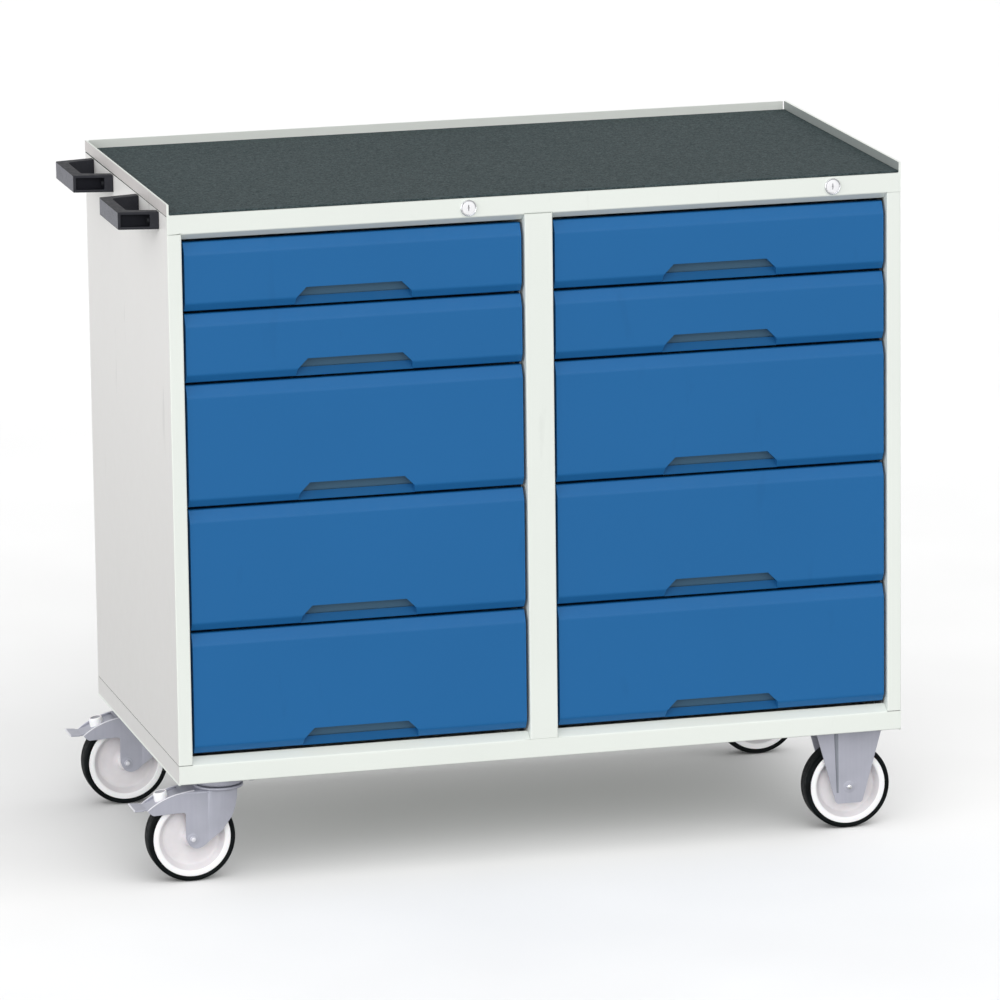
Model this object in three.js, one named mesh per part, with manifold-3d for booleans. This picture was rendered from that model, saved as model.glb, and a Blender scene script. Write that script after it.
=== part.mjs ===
// Mobile drawer cabinet: a sheet-steel carcass on castors with two columns of five drawers.
// Millimetres, +Z up. The front faces -Y, the push handles are on the -X side, and the floor is z = 0.
import * as THREE from "three";
import { mergeVertices } from "three/addons/utils/BufferGeometryUtils.js";
import Module from "manifold-3d";

const wasm = await Module();
wasm.setup();

// ---------- driving dimensions ----------
const WIDTH = 1050; // cabinet body, along X
const DEPTH = 550; // cabinet body, along Y
const BODY_HEIGHT = 803; // underside of the base to the top of the front fascia
const CASTOR_HEIGHT = 150; // floor to the underside of the base
const TRAY_LIP = 15; // upstand round three sides of the top
const SHEET = 1.5; // carcass sheet
const THIN_SHEET = 1.2; // drawer sheet
const GAP = 0.3; // air between pieces that touch
const SEAM = 0.9; // open seam between the side panels and the trays above and below them

const POST = 20; // width of a corner post's front face
const CENTRE_POST = 40; // width of the partition's front face
const BASE_RAIL = 27; // height of the base's walls
const FASCIA = 27; // height of the fascia below the top
const SILL_RISE = 9.5; // sloped sill above the base rail and below the fascia
const SILL_DEPTH = 14.5;
const LIP_THICKNESS = 3; // hemmed upstand of the tray
const MAT_THICKNESS = 3;

const DRAWER_PITCHES = [175, 175, 175, 100, 100]; // bottom to top
const FIRST_DRAWER = 39; // lowest drawer line above the underside of the base
const FRONT_RECESS = 4; // drawer face behind the frame's face
const FRONT_DEPTH = 18; // drawer front, face to back
const FRONT_SIDE_GAP = 4;
const FRONT_GAP = 3.5; // between one drawer front and the next
const TOP_BAND = 16; // leaning band along a front's upper edge
const BOTTOM_BEVEL = 12;
const LEAN = 8; // how far band and bevel lean back
const GRIP_HALF_BOTTOM = 83.5;
const GRIP_HALF_TOP = 67.5;
const GRIP_HEIGHT = 26;
const GRIP_LIP = 10; // height of the sloping lip inside the grip
const GRIP_HOOK = 8; // finger room behind the face, above the grip's edge
const GRIP_DEPTH = 14;

const BOX_SIDE_GAP = 12.5; // runner room on each side of a drawer box
const BOX_LENGTH = 475;
const BOX_FLOOR = 10; // drawer box floor above its drawer line
const BOX_HEADROOM = 16; // drawer box rim below the next drawer line
const RUNNER_LINE = 30; // runner centre above its drawer line
const RAIL_HEIGHT = 20;
const RAIL_DEPTH = 11;
const SLIDER_HEIGHT = 12;

const LOCK_INSET = 80; // lock axis from the right edge of its opening
const LOCK_DROP = 13.5; // lock axis below the top of the fascia
const CRANK = 8; // radius of the lock's crank pin and travel of the lock bar

const CASTOR_INSET_X = 67; // swivel axis, or fixed axle, from the side of the cabinet
const CASTOR_INSET_Y = 54;
const TRAIL = 42; // wheel axle behind the swivel axis
const WHEEL_RADIUS = 62.5;
const WHEEL_WIDTH = 32;
const RIM_RADIUS = 55.2;
const AXLE_RADIUS = 4;
const FORK_INNER = 18.3; // half the gap between a fork's cheeks
const FORK_SHEET = 3;
const PLATE_X = 105;
const PLATE_Y = 84;
const PLATE_THICKNESS = 2.7;
const PLATE_HOLE_X = 40; // bolt holes from the plate's centre
const PLATE_HOLE_Y = 30;
const PLATE_HOLE_RADIUS = 4.5;
const CROWN_TOP = 133.5;
const CROWN_RADIUS = 35; // round flange on a swivel fork's crown
const CROWN_FLANGE = 3; // its height above the crown

// ---------- derived planes ----------
const LEFT = -WIDTH / 2;
const RIGHT = WIDTH / 2;
const FRONT = -DEPTH / 2;
const BACK = DEPTH / 2;
const BASE = CASTOR_HEIGHT;
const BASE_TOP = BASE + BASE_RAIL;
const TRAY_TOP = BASE + BODY_HEIGHT;
const TRAY_FLOOR = TRAY_TOP - SHEET;
const FASCIA_BOTTOM = TRAY_TOP - FASCIA;
const COLUMNS = [
  { name: "left", from: LEFT + POST, to: -CENTRE_POST / 2 },
  { name: "right", from: CENTRE_POST / 2, to: RIGHT - POST },
];
const FACE = FRONT + FRONT_RECESS;
const FRONT_BACK = FACE + FRONT_DEPTH;
const BOX_FRONT = FRONT_BACK + GAP;
const BOX_BACK = BOX_FRONT + BOX_LENGTH;
const LOCK_Z = TRAY_TOP - LOCK_DROP;
const LOCK_BAR_Y = BACK - 33;

// ---------- materials ----------
const paint = (color, roughness, metalness) =>
  new THREE.MeshStandardMaterial({ color, roughness, metalness });
const whitePaint = () => paint(0xecf1eb, 0.45, 0.1);
const bluePaint = () => paint(0x2f6ba2, 0.4, 0.1);
const matRubber = () => paint(0x4c5a5e, 0.9, 0);
const greyPlastic = () => paint(0x2d2e37, 0.6, 0);
const zinc = () => paint(0xafb1bc, 0.35, 0.8);
const chrome = () => paint(0xe4e6e8, 0.15, 1);
const tyreRubber = () => paint(0x15191a, 0.8, 0);
const whiteNylon = () => paint(0xeeecee, 0.4, 0);

// ---------- geometry helpers ----------
function box(x0, x1, y0, y1, z0, z1) {
  const geometry = new THREE.BoxGeometry(x1 - x0, y1 - y0, z1 - z0);
  return geometry.translate((x0 + x1) / 2, (y0 + y1) / 2, (z0 + z1) / 2);
}

// The same, with its two x positions in either order.
function boxBetween(xa, xb, y0, y1, z0, z1) {
  return box(Math.min(xa, xb), Math.max(xa, xb), y0, y1, z0, z1);
}

function outline(points) {
  return new THREE.Shape(points.map(([a, b]) => new THREE.Vector2(a, b)));
}

function extrude(shape, length, curveSegments = 5) {
  return new THREE.ExtrudeGeometry(shape, { depth: length, bevelEnabled: false, curveSegments });
}

// A shape drawn in (y, z), swept along X.
function alongX(shape, x0, x1) {
  const turn = new THREE.Matrix4().set(0, 0, 1, x0, 1, 0, 0, 0, 0, 1, 0, 0, 0, 0, 0, 1);
  return extrude(shape, x1 - x0).applyMatrix4(turn);
}

// A shape drawn in (x, z), swept along Y.
function alongY(shape, y0, y1) {
  return extrude(shape, y1 - y0).rotateX(Math.PI / 2).translate(0, y1, 0);
}

// A shape drawn in (x, y), swept along Z.
function alongZ(shape, z0, z1) {
  return extrude(shape, z1 - z0).translate(0, 0, z0);
}

// A profile of [radius, height] pairs turned about Z.
function turned(profile, segments = 24) {
  return new THREE.LatheGeometry(profile.map(([r, h]) => new THREE.Vector2(r, h)), segments)
    .rotateX(Math.PI / 2);
}

// The same, turned about an axis that runs along Y: height grows towards -Y.
function turnedY(profile, segments = 24) {
  return new THREE.LatheGeometry(profile.map(([r, h]) => new THREE.Vector2(r, h)), segments)
    .rotateX(Math.PI);
}

const rod = (radius, from, to) => [[0, from], [radius, from], [radius, to], [0, to]];

function toSolid(geometry) {
  const bare = geometry.clone();
  bare.deleteAttribute("normal");
  bare.deleteAttribute("uv");
  const merged = mergeVertices(bare, 1e-4);
  return new wasm.Manifold(new wasm.Mesh({
    numProp: 3,
    vertProperties: new Float32Array(merged.attributes.position.array),
    triVerts: new Uint32Array(merged.index.array),
  }));
}

function toGeometry(solid) {
  const mesh = solid.getMesh();
  const geometry = new THREE.BufferGeometry();
  geometry.setAttribute("position", new THREE.BufferAttribute(mesh.vertProperties, 3));
  geometry.setIndex(new THREE.BufferAttribute(mesh.triVerts, 1));
  const flat = geometry.toNonIndexed();
  flat.computeVertexNormals();
  return flat;
}

const join = (...geometries) =>
  toGeometry(geometries.map(toSolid).reduce((whole, part) => whole.add(part)));

const cut = (geometry, ...tools) =>
  toGeometry(tools.map(toSolid).reduce((whole, tool) => whole.subtract(tool), toSolid(geometry)));

const common = (a, b) => toGeometry(toSolid(a).intersect(toSolid(b)));

const cabinet = new THREE.Group();

function place(name, geometry, material, parent = cabinet) {
  const mesh = new THREE.Mesh(geometry, material);
  mesh.name = name;
  parent.add(mesh);
  return mesh;
}

// ---------- carcass ----------
// A strip of sheet that slopes back from the frame's face at an opening's upper or lower edge.
function sill(column, faceZ, rise) {
  const direction = Math.sign(rise);
  const strip = outline([
    [FRONT, faceZ - direction * SHEET],
    [FRONT, faceZ],
    [FRONT + SILL_DEPTH, faceZ + rise],
    [FRONT + SILL_DEPTH + SHEET, faceZ + rise - direction * SHEET],
    [FRONT + SHEET, faceZ - direction * SHEET],
  ]);
  return alongX(strip, column.from + GAP, column.to - GAP);
}

function baseTray() {
  const floor = box(LEFT, RIGHT, FRONT, BACK, BASE, BASE + SHEET);
  const front = box(LEFT, RIGHT, FRONT, FRONT + SHEET, BASE, BASE_TOP);
  const back = box(LEFT, RIGHT, BACK - SHEET, BACK, BASE, BASE_TOP);
  const left = box(LEFT, LEFT + SHEET, FRONT, BACK, BASE, BASE_TOP);
  const right = box(RIGHT - SHEET, RIGHT, FRONT, BACK, BASE, BASE_TOP);
  const sills = COLUMNS.map((column) => sill(column, BASE_TOP, SILL_RISE));
  return join(floor, front, back, left, right, ...sills);
}

// The room that the top tray's fascia takes in front of the posts.
const fasciaRoom = () =>
  box(LEFT - 1, RIGHT + 1, FRONT - 1, FRONT + SHEET + GAP, FASCIA_BOTTOM - GAP, TRAY_TOP);

// A side is one sheet, folded into a box post in front and a flange at the back.
function sidePanel(side) {
  const skin = side * (WIDTH / 2);
  const at = (inset) => skin - side * inset;
  const section = outline([
    [at(0), FRONT],
    [at(POST), FRONT],
    [at(POST), FRONT + POST],
    [at(POST - SHEET), FRONT + POST],
    [at(POST - SHEET), FRONT + SHEET],
    [at(SHEET), FRONT + SHEET],
    [at(SHEET), BACK - SHEET],
    [at(POST), BACK - SHEET],
    [at(POST), BACK],
    [at(0), BACK],
  ]);
  return cut(alongZ(section, BASE_TOP + SEAM, TRAY_FLOOR - SEAM), fasciaRoom());
}

function centrePartition() {
  const half = CENTRE_POST / 2;
  const rear = BACK - SHEET - 2 * GAP;
  const outer = box(-half, half, FRONT, rear, BASE + SHEET + GAP, TRAY_FLOOR - 2 * SHEET);
  const hollow = box(-half + SHEET, half - SHEET, FRONT + SHEET, rear - SHEET, BASE, TRAY_TOP);
  const baseRoom = box(-WIDTH, WIDTH, FRONT - 1, FRONT + SHEET + GAP, BASE, BASE_TOP + GAP);
  return cut(outer, hollow, baseRoom, fasciaRoom());
}

const BACK_RETURN = 12;
const GUIDE_HEIGHTS = [BASE + 120, BASE + 700];
const GUIDE_HEIGHT = 20;
const GUIDE_INNER = 9; // guide faces from the lock bar's middle
const GUIDE_OUTER = 12;

// The back sheet has a return down each side and two guides for each lock bar.
function backPanel() {
  const edge = RIGHT - POST - GAP;
  const section = outline([
    [-edge, BACK],
    [-edge, BACK - BACK_RETURN],
    [-edge + SHEET, BACK - BACK_RETURN],
    [-edge + SHEET, BACK - SHEET],
    [edge - SHEET, BACK - SHEET],
    [edge - SHEET, BACK - BACK_RETURN],
    [edge, BACK - BACK_RETURN],
    [edge, BACK],
  ]);
  const guides = [];
  for (const column of COLUMNS) {
    const x = lockX(column);
    for (const z of GUIDE_HEIGHTS) {
      for (const side of [-1, 1]) {
        const near = x + side * GUIDE_INNER;
        const far = x + side * GUIDE_OUTER;
        guides.push(boxBetween(near, far, LOCK_BAR_Y - BAR_SHEET, BACK - 1, z, z + GUIDE_HEIGHT));
      }
    }
  }
  return join(alongZ(section, BASE_TOP + GAP, TRAY_FLOOR - GAP), ...guides);
}

const ROOF_FLANGE = 15;
const ROOF_SETBACK = POST + 14; // leaves room for the cranks of the locks

// The roof sheet under the tray, with a flange down each side.
function topPanel() {
  const edge = RIGHT - POST - GAP;
  const front = FRONT + ROOF_SETBACK;
  const back = BACK - BACK_RETURN - 1;
  const top = TRAY_FLOOR - GAP;
  const sheet = box(-edge, edge, front, back, top - SHEET, top);
  const flanges = [-1, 1].map((side) =>
    boxBetween(side * edge, side * (edge - SHEET), front, back, top - ROOF_FLANGE, top));
  return join(sheet, ...flanges);
}

const CORNER_GAP = 2.5; // open corners where the tray's lips meet

// The top tray's floor turns down in front as the fascia and up on the other three sides.
function topTray() {
  const lipTop = TRAY_TOP + TRAY_LIP;
  const floor = box(LEFT, RIGHT, FRONT, BACK, TRAY_FLOOR, TRAY_TOP);
  const fascia = box(LEFT, RIGHT, FRONT, FRONT + SHEET, FASCIA_BOTTOM, TRAY_TOP);
  const left = box(LEFT, LEFT + LIP_THICKNESS, FRONT, BACK, TRAY_FLOOR, lipTop);
  const right = box(RIGHT - LIP_THICKNESS, RIGHT, FRONT, BACK, TRAY_FLOOR, lipTop);
  const inset = LIP_THICKNESS + CORNER_GAP;
  const rear = box(LEFT + inset, RIGHT - inset, BACK - LIP_THICKNESS, BACK, TRAY_FLOOR, lipTop);
  const sills = COLUMNS.map((column) => sill(column, FASCIA_BOTTOM, -SILL_RISE));
  const holes = COLUMNS.map((column) =>
    turnedY(rod(HOUSING_RADIUS + GAP, -5, 5)).translate(lockX(column), FRONT, LOCK_Z));
  return cut(join(floor, fascia, left, right, rear, ...sills), ...holes);
}

function topMat() {
  const inset = LIP_THICKNESS + GAP;
  const z = TRAY_TOP + GAP;
  return box(LEFT + inset, RIGHT - inset, FRONT + 1, BACK - inset, z, z + MAT_THICKNESS);
}

// ---------- push handles ----------
const HANDLE_REACH = 55;
const HANDLE_FOOT = 148;
const HANDLE_GRIP = 124;
const HANDLE_SPREAD = 152; // handle centre from the middle of the side
const HANDLE_HEIGHT = 24.5;
const HANDLE_WALL = 15;
const POCKET_RIM = 4; // plastic left round a screw pocket
const POCKET_END = 12.5; // plastic between a pocket and the cabinet's side
const POCKET_SHALLOW = 3;
const POCKET_DEEP = 11;

// A bow of moulded plastic, with a wedge-shaped screw pocket in the outer face of each arm.
function pushHandle(centreY) {
  const panel = LEFT - GAP;
  const tip = panel - HANDLE_REACH;
  const bow = outline([
    [panel, -HANDLE_FOOT / 2],
    [tip, -HANDLE_GRIP / 2],
    [tip, HANDLE_GRIP / 2],
    [panel, HANDLE_FOOT / 2],
    [panel, HANDLE_FOOT / 2 - HANDLE_WALL],
    [tip + HANDLE_WALL, HANDLE_GRIP / 2 - HANDLE_WALL],
    [tip + HANDLE_WALL, -HANDLE_GRIP / 2 + HANDLE_WALL],
    [panel, -HANDLE_FOOT / 2 + HANDLE_WALL],
  ]);
  const slope = (HANDLE_FOOT - HANDLE_GRIP) / 2 / HANDLE_REACH;
  const faceAt = (x) => -HANDLE_GRIP / 2 - (x - tip) * slope;
  const shallow = tip + POCKET_RIM;
  const deep = panel - POCKET_END;
  const pockets = [-1, 1].map((end) => alongZ(outline([
    [shallow, -end * (faceAt(shallow) - 1)],
    [deep, -end * (faceAt(deep) - 1)],
    [deep, -end * (faceAt(deep) + POCKET_DEEP)],
    [shallow, -end * (faceAt(shallow) + POCKET_SHALLOW)],
  ]), POCKET_RIM, HANDLE_HEIGHT - POCKET_RIM));
  return cut(alongZ(bow, 0, HANDLE_HEIGHT), ...pockets)
    .translate(0, centreY, TRAY_FLOOR - 1 - HANDLE_HEIGHT);
}

// ---------- locks ----------
// Depths along a lock's axis count from the frame's face: positive in front of it, negative behind.
const HOUSING_RADIUS = 9;
const HOUSING_TAIL = -20;
const FLANGE_RADIUS = 11.5;
const FLANGE_FACE = 2.8;
const PLUG_RADIUS = 6;
const PLUG_FACE = 1.5;
const PLUG_TAIL = -23;
const CRANK_DISC_RADIUS = 11;
const CRANK_DISC_FRONT = -20.5;
const PIN_RADIUS = 2;
const PIN_TAIL = -30;
const KEY_SLOT_HALF_WIDTH = 0.8;
const KEY_SLOT_HALF_HEIGHT = 4;
const KEY_SLOT_DEPTH = 3;

function lockX(column) {
  return column.to - LOCK_INSET;
}

function lockHousing() {
  const bore = PLUG_RADIUS + GAP;
  const profile = [
    [bore, HOUSING_TAIL],
    [HOUSING_RADIUS, HOUSING_TAIL],
    [HOUSING_RADIUS, GAP],
    [FLANGE_RADIUS, GAP],
    [FLANGE_RADIUS, FLANGE_FACE - 1],
    [FLANGE_RADIUS - 1, FLANGE_FACE],
    [bore, FLANGE_FACE],
    [bore, HOUSING_TAIL],
  ];
  return turnedY(profile, 24);
}

// The plug has a key slot in front and a crank with a pin at its tail.
function lockPlug() {
  const barrel = turnedY(rod(PLUG_RADIUS, PLUG_TAIL, PLUG_FACE), 16);
  const disc = turnedY(rod(CRANK_DISC_RADIUS, PLUG_TAIL, CRANK_DISC_FRONT), 16);
  const pin = turnedY(rod(PIN_RADIUS, PIN_TAIL, PLUG_TAIL + 2), 8).translate(CRANK, 0, 0);
  const slot = box(-KEY_SLOT_HALF_WIDTH, KEY_SLOT_HALF_WIDTH, -KEY_SLOT_DEPTH, KEY_SLOT_DEPTH,
    -KEY_SLOT_HALF_HEIGHT, KEY_SLOT_HALF_HEIGHT);
  return cut(join(barrel, disc, pin), slot);
}

// ---------- lock bars ----------
const CATCH_HEIGHT = 10;
const CATCH_OFFSET = 45; // catch above its drawer line
const CATCH_CLEARANCE = 1; // between a raised finger and its catch
const BAR_SHEET = 3;
const BAR_HALF = 8;
const FINGER_FRONT = LOCK_BAR_Y - 13;
const ARM_INNER = 10; // arm beside the bar, clear of the crank's pin
const ARM_OUTER = ARM_INNER + BAR_SHEET;
const ARM_LOW = LOCK_Z - 6;
const ARM_HIGH = LOCK_Z + 4;
const ARM_FRONT = FRONT + 27;
const YOKE_SHEET = 2;
const YOKE_RIM = 3.3;
const PLAY_BELOW = 2.7; // between the crank's pin and the yoke's slot
const PLAY_ABOVE = 0.7;

// A plate round the crank's pin, with a slot that is wide enough for the pin's sideways swing.
function lockYoke(x) {
  const low = LOCK_Z - PIN_RADIUS - PLAY_BELOW;
  const high = LOCK_Z + PIN_RADIUS + PLAY_ABOVE;
  const slotStart = x - YOKE_RIM;
  const slotEnd = x + CRANK + YOKE_RIM;
  const back = ARM_FRONT + YOKE_SHEET;
  return cut(
    box(slotStart - YOKE_RIM, slotEnd + YOKE_RIM, ARM_FRONT, back, low - YOKE_RIM, high + YOKE_RIM),
    box(slotStart, slotEnd, ARM_FRONT - 1, back + 1, low, high),
  );
}

// A flat bar behind the drawers, with a finger over each drawer's catch and an arm to the lock.
function lockBar(column) {
  const x = lockX(column);
  const barBack = LOCK_BAR_Y + BAR_SHEET;
  const bar = box(x - BAR_HALF, x + BAR_HALF, LOCK_BAR_Y, barBack, drawerLines[0] + 20, LOCK_Z + 5);
  const arm = box(x + ARM_INNER, x + ARM_OUTER, ARM_FRONT, barBack, ARM_LOW, ARM_HIGH);
  const elbow = box(x + ARM_INNER / 2, x + ARM_OUTER, LOCK_BAR_Y, barBack, ARM_LOW, ARM_HIGH);
  const fingers = [];
  for (const line of drawerLines) {
    const tip = line + CATCH_OFFSET + CATCH_HEIGHT + CATCH_CLEARANCE;
    const top = tip + CRANK;
    fingers.push(box(x - BAR_HALF, x + BAR_HALF, FINGER_FRONT, LOCK_BAR_Y + 1, top, top + BAR_SHEET));
    fingers.push(
      box(x - BAR_HALF, x + BAR_HALF, FINGER_FRONT, FINGER_FRONT + BAR_SHEET, tip, top + BAR_SHEET));
  }
  return join(bar, elbow, arm, lockYoke(x), ...fingers);
}

// ---------- drawers ----------
const drawerLines = DRAWER_PITCHES.map((_, index) =>
  DRAWER_PITCHES.slice(0, index).reduce((line, pitch) => line + pitch, BASE + FIRST_DRAWER));

const GRIP_KNEE = 12; // height at which the grip's ends start to slant in
const LIP_SLOPE = 0.7; // run over rise of the lip inside the grip
const BEYOND = 5; // how far a cutting shape runs past the piece it cuts

// The folded front's cross-section, offset inwards by `wall`; open at the back when `wall` is 0.
function frontSection(bottom, top, wall) {
  const back = wall > 0 ? FRONT_BACK + 1 : FRONT_BACK;
  return outline([
    [FACE + LEAN + wall * 0.6, bottom + wall],
    [FACE + wall, bottom + BOTTOM_BEVEL + wall * 0.3],
    [FACE + wall, top - TOP_BAND - wall * 0.3],
    [FACE + LEAN + wall * 0.6, top - wall],
    [back, top - wall],
    [back, bottom + wall],
  ]);
}

// The grip seen from the front: upright low down, then slanting in. `grow` widens it.
function gripOutline(bottom, grow, height) {
  const kneeHalf = GRIP_HALF_BOTTOM - 2 + grow;
  const topHalf = GRIP_HALF_TOP + grow;
  return outline([
    [-GRIP_HALF_BOTTOM - grow, bottom - BEYOND],
    [-kneeHalf, bottom + GRIP_KNEE],
    [-topHalf, bottom + GRIP_HEIGHT + grow],
    [-topHalf, bottom + height],
    [topHalf, bottom + height],
    [topHalf, bottom + GRIP_HEIGHT + grow],
    [kneeHalf, bottom + GRIP_KNEE],
    [GRIP_HALF_BOTTOM + grow, bottom - BEYOND],
  ]);
}

// The grip seen from the side: a back wall, a lip that slopes forward, and room to hook fingers up.
function gripSection(bottom, grow) {
  const wallY = FACE + GRIP_DEPTH + grow;
  const hookTop = bottom + GRIP_HEIGHT + GRIP_HOOK + grow;
  const edge = bottom + GRIP_HEIGHT;
  const behindFace = FACE + 2 * THIN_SHEET - grow;
  return outline([
    [FACE - BEYOND, bottom - BEYOND],
    [FACE - BEYOND, edge],
    [behindFace, edge],
    [behindFace, hookTop],
    [wallY, hookTop],
    [wallY, bottom + GRIP_LIP],
    [wallY - LIP_SLOPE * GRIP_LIP, bottom],
    [wallY - LIP_SLOPE * (GRIP_LIP + BEYOND), bottom - BEYOND],
  ]);
}

function gripVolume(bottom, grow) {
  const reach = GRIP_HALF_BOTTOM + grow + 2;
  const sideways = alongX(gripSection(bottom, grow), -reach, reach);
  const frontal = alongY(gripOutline(bottom, grow, 2 * GRIP_HEIGHT), FACE - 2 * BEYOND, FRONT_BACK);
  return common(sideways, frontal);
}

function drawerFront(column, line, pitch) {
  const half = (column.to - column.from) / 2 - FRONT_SIDE_GAP;
  const bottom = line + FRONT_GAP / 2;
  const top = line + pitch - FRONT_GAP / 2;
  const skin = alongX(frontSection(bottom, top, 0), -half, half);
  const hollow = alongX(frontSection(bottom, top, THIN_SHEET), -half + THIN_SHEET, half - THIN_SHEET);
  const liner = common(gripVolume(bottom, THIN_SHEET), skin);
  return cut(join(cut(skin, hollow), liner), gripVolume(bottom, 0));
}

const SLIDER_CLEARANCE = 3.5; // between a drawer's runner bar and the wall of its opening
const CATCH_HALF = 15;
const CATCH_REACH = 14; // behind the drawer box

// An open box with a runner bar down each side and a catch for the lock bar at the back.
function drawerBox(column, line, pitch) {
  const half = (column.to - column.from) / 2 - BOX_SIDE_GAP;
  const floor = line + BOX_FLOOR;
  const rim = line + pitch - BOX_HEADROOM;
  const outer = box(-half, half, BOX_FRONT, BOX_BACK, floor, rim);
  const inner = box(-half + THIN_SHEET, half - THIN_SHEET, BOX_FRONT + THIN_SHEET, BOX_BACK - THIN_SHEET,
    floor + THIN_SHEET, rim + 1);
  const low = line + RUNNER_LINE - SLIDER_HEIGHT / 2;
  const high = low + SLIDER_HEIGHT;
  const reach = BOX_SIDE_GAP - SLIDER_CLEARANCE;
  const sliders = [
    box(-half - reach, -half + 0.5, BOX_FRONT, BOX_BACK, low, high),
    box(half - 0.5, half + reach, BOX_FRONT, BOX_BACK, low, high),
  ];
  const middle = (column.from + column.to) / 2;
  const x = lockX(column) - middle;
  const z = line + CATCH_OFFSET;
  const catchBack = BOX_BACK + CATCH_REACH;
  const catches = [
    box(x - CATCH_HALF, x + CATCH_HALF, BOX_BACK - 1, catchBack, z - SHEET, z),
    box(x - CATCH_HALF, x + CATCH_HALF, catchBack - SHEET, catchBack, z - SHEET, z + CATCH_HEIGHT),
  ];
  return join(cut(outer, inner), ...sliders, ...catches);
}

// ---------- runner racks ----------
const UPRIGHT_WIDTH = 25;
const UPRIGHT_FACE = 2.5; // from the wall of the opening
const UPRIGHT_FLOOR = BASE + 10;
const UPRIGHT_TOP = TRAY_TOP - 60;
const RAIL_WALL = 1; // back of a rail, from the wall of the opening

const UPRIGHT_FRONT = FRONT + 27;
const UPRIGHT_REAR = BACK - 62;
const RAIL_FRONT = FRONT + 25;
const RAIL_REAR = BACK - 37;

// Two uprights and five channel rails. `wall` is the face it stands on and `side` the way it faces.
function runnerRack(wall, side, uprightDepth) {
  const x = (inset) => wall + side * inset;
  const uprights = [UPRIGHT_FRONT, UPRIGHT_REAR].map((y) => {
    const back = y + UPRIGHT_WIDTH;
    if (uprightDepth === 0) {
      return boxBetween(x(GAP), x(UPRIGHT_FACE), y, back, UPRIGHT_FLOOR, UPRIGHT_TOP);
    }
    const channel = outline([
      [x(GAP - uprightDepth), y],
      [x(UPRIGHT_FACE), y],
      [x(UPRIGHT_FACE), back],
      [x(GAP - uprightDepth), back],
      [x(GAP - uprightDepth), back - SHEET],
      [x(UPRIGHT_FACE - SHEET), back - SHEET],
      [x(UPRIGHT_FACE - SHEET), y + SHEET],
      [x(GAP - uprightDepth), y + SHEET],
    ]);
    return alongZ(channel, UPRIGHT_FLOOR, UPRIGHT_TOP);
  });
  const rails = drawerLines.map((line) => {
    const low = line + RUNNER_LINE - RAIL_HEIGHT / 2;
    const high = low + RAIL_HEIGHT;
    const channel = outline([
      [x(RAIL_WALL), low],
      [x(RAIL_DEPTH), low],
      [x(RAIL_DEPTH), low + SHEET],
      [x(RAIL_WALL + SHEET), low + SHEET],
      [x(RAIL_WALL + SHEET), high - SHEET],
      [x(RAIL_DEPTH), high - SHEET],
      [x(RAIL_DEPTH), high],
      [x(RAIL_WALL), high],
    ]);
    return alongY(channel, RAIL_FRONT, RAIL_REAR);
  });
  return join(...uprights, ...rails);
}

// ---------- castors ----------
// Geometry is drawn with the swivel axis, or the fixed plate's centre, at x = 0 and y = 0.
const AXLE_Z = WHEEL_RADIUS;
const CHEEK_OUTER = FORK_INNER + FORK_SHEET;
const HUB_RADIUS = 12;
const HALF_WEB = 5;
const RIM_INNER = 47.5;
const TYRE_SHOULDER = 3;
const BOLT_HEAD_RADIUS = 6.5;
const BOLT_HEAD = 6;
const NUT_RADIUS = 7;
const NUT = 5;

function wheelCentre(axleX) {
  const bore = AXLE_RADIUS + GAP;
  const halfRim = WHEEL_WIDTH / 2 - 1;
  const halfHub = FORK_INNER - 1;
  const profile = [
    [bore, -halfHub],
    [HUB_RADIUS, -halfHub],
    [HUB_RADIUS, -HALF_WEB],
    [RIM_INNER - 3, -HALF_WEB],
    [RIM_INNER, -halfRim],
    [RIM_RADIUS, -halfRim],
    [RIM_RADIUS, halfRim],
    [RIM_INNER, halfRim],
    [RIM_INNER - 3, HALF_WEB],
    [HUB_RADIUS, HALF_WEB],
    [HUB_RADIUS, halfHub],
    [bore, halfHub],
    [bore, -halfHub],
  ];
  return turnedY(profile, 24).translate(axleX, 0, AXLE_Z);
}

function tyre(axleX) {
  const half = WHEEL_WIDTH / 2;
  const inner = RIM_RADIUS + GAP;
  const shoulder = WHEEL_RADIUS - TYRE_SHOULDER;
  const tread = half - 5;
  const profile = [
    [inner, 1 - half],
    [shoulder, -half],
    [WHEEL_RADIUS, -tread],
    [WHEEL_RADIUS, tread],
    [shoulder, half],
    [inner, half - 1],
    [inner, 1 - half],
  ];
  return turnedY(profile, 40).translate(axleX, 0, AXLE_Z);
}

// A bolt through both cheeks with a head at one end and a nut at the other.
function axleBolt(axleX) {
  const face = CHEEK_OUTER + GAP;
  const profile = [
    [0, -face - BOLT_HEAD],
    [BOLT_HEAD_RADIUS, -face - BOLT_HEAD],
    [BOLT_HEAD_RADIUS, -face],
    [AXLE_RADIUS, -face],
    [AXLE_RADIUS, face],
    [NUT_RADIUS, face],
    [NUT_RADIUS, face + NUT],
    [0, face + NUT],
  ];
  return turnedY(profile, 12).translate(axleX, 0, AXLE_Z);
}

function axleHole(axleX) {
  return turnedY(rod(AXLE_RADIUS + GAP, -40, 40), 12).translate(axleX, 0, AXLE_Z);
}

function mountingPlate() {
  const top = BASE - GAP;
  const plate = box(-PLATE_X / 2, PLATE_X / 2, -PLATE_Y / 2, PLATE_Y / 2, top - PLATE_THICKNESS, top);
  const holes = [];
  for (const x of [-PLATE_HOLE_X, PLATE_HOLE_X]) {
    for (const y of [-PLATE_HOLE_Y, PLATE_HOLE_Y]) {
      holes.push(turned(rod(PLATE_HOLE_RADIUS, -10, 10), 8).translate(x, y, BASE));
    }
  }
  return cut(plate, ...holes);
}

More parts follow.
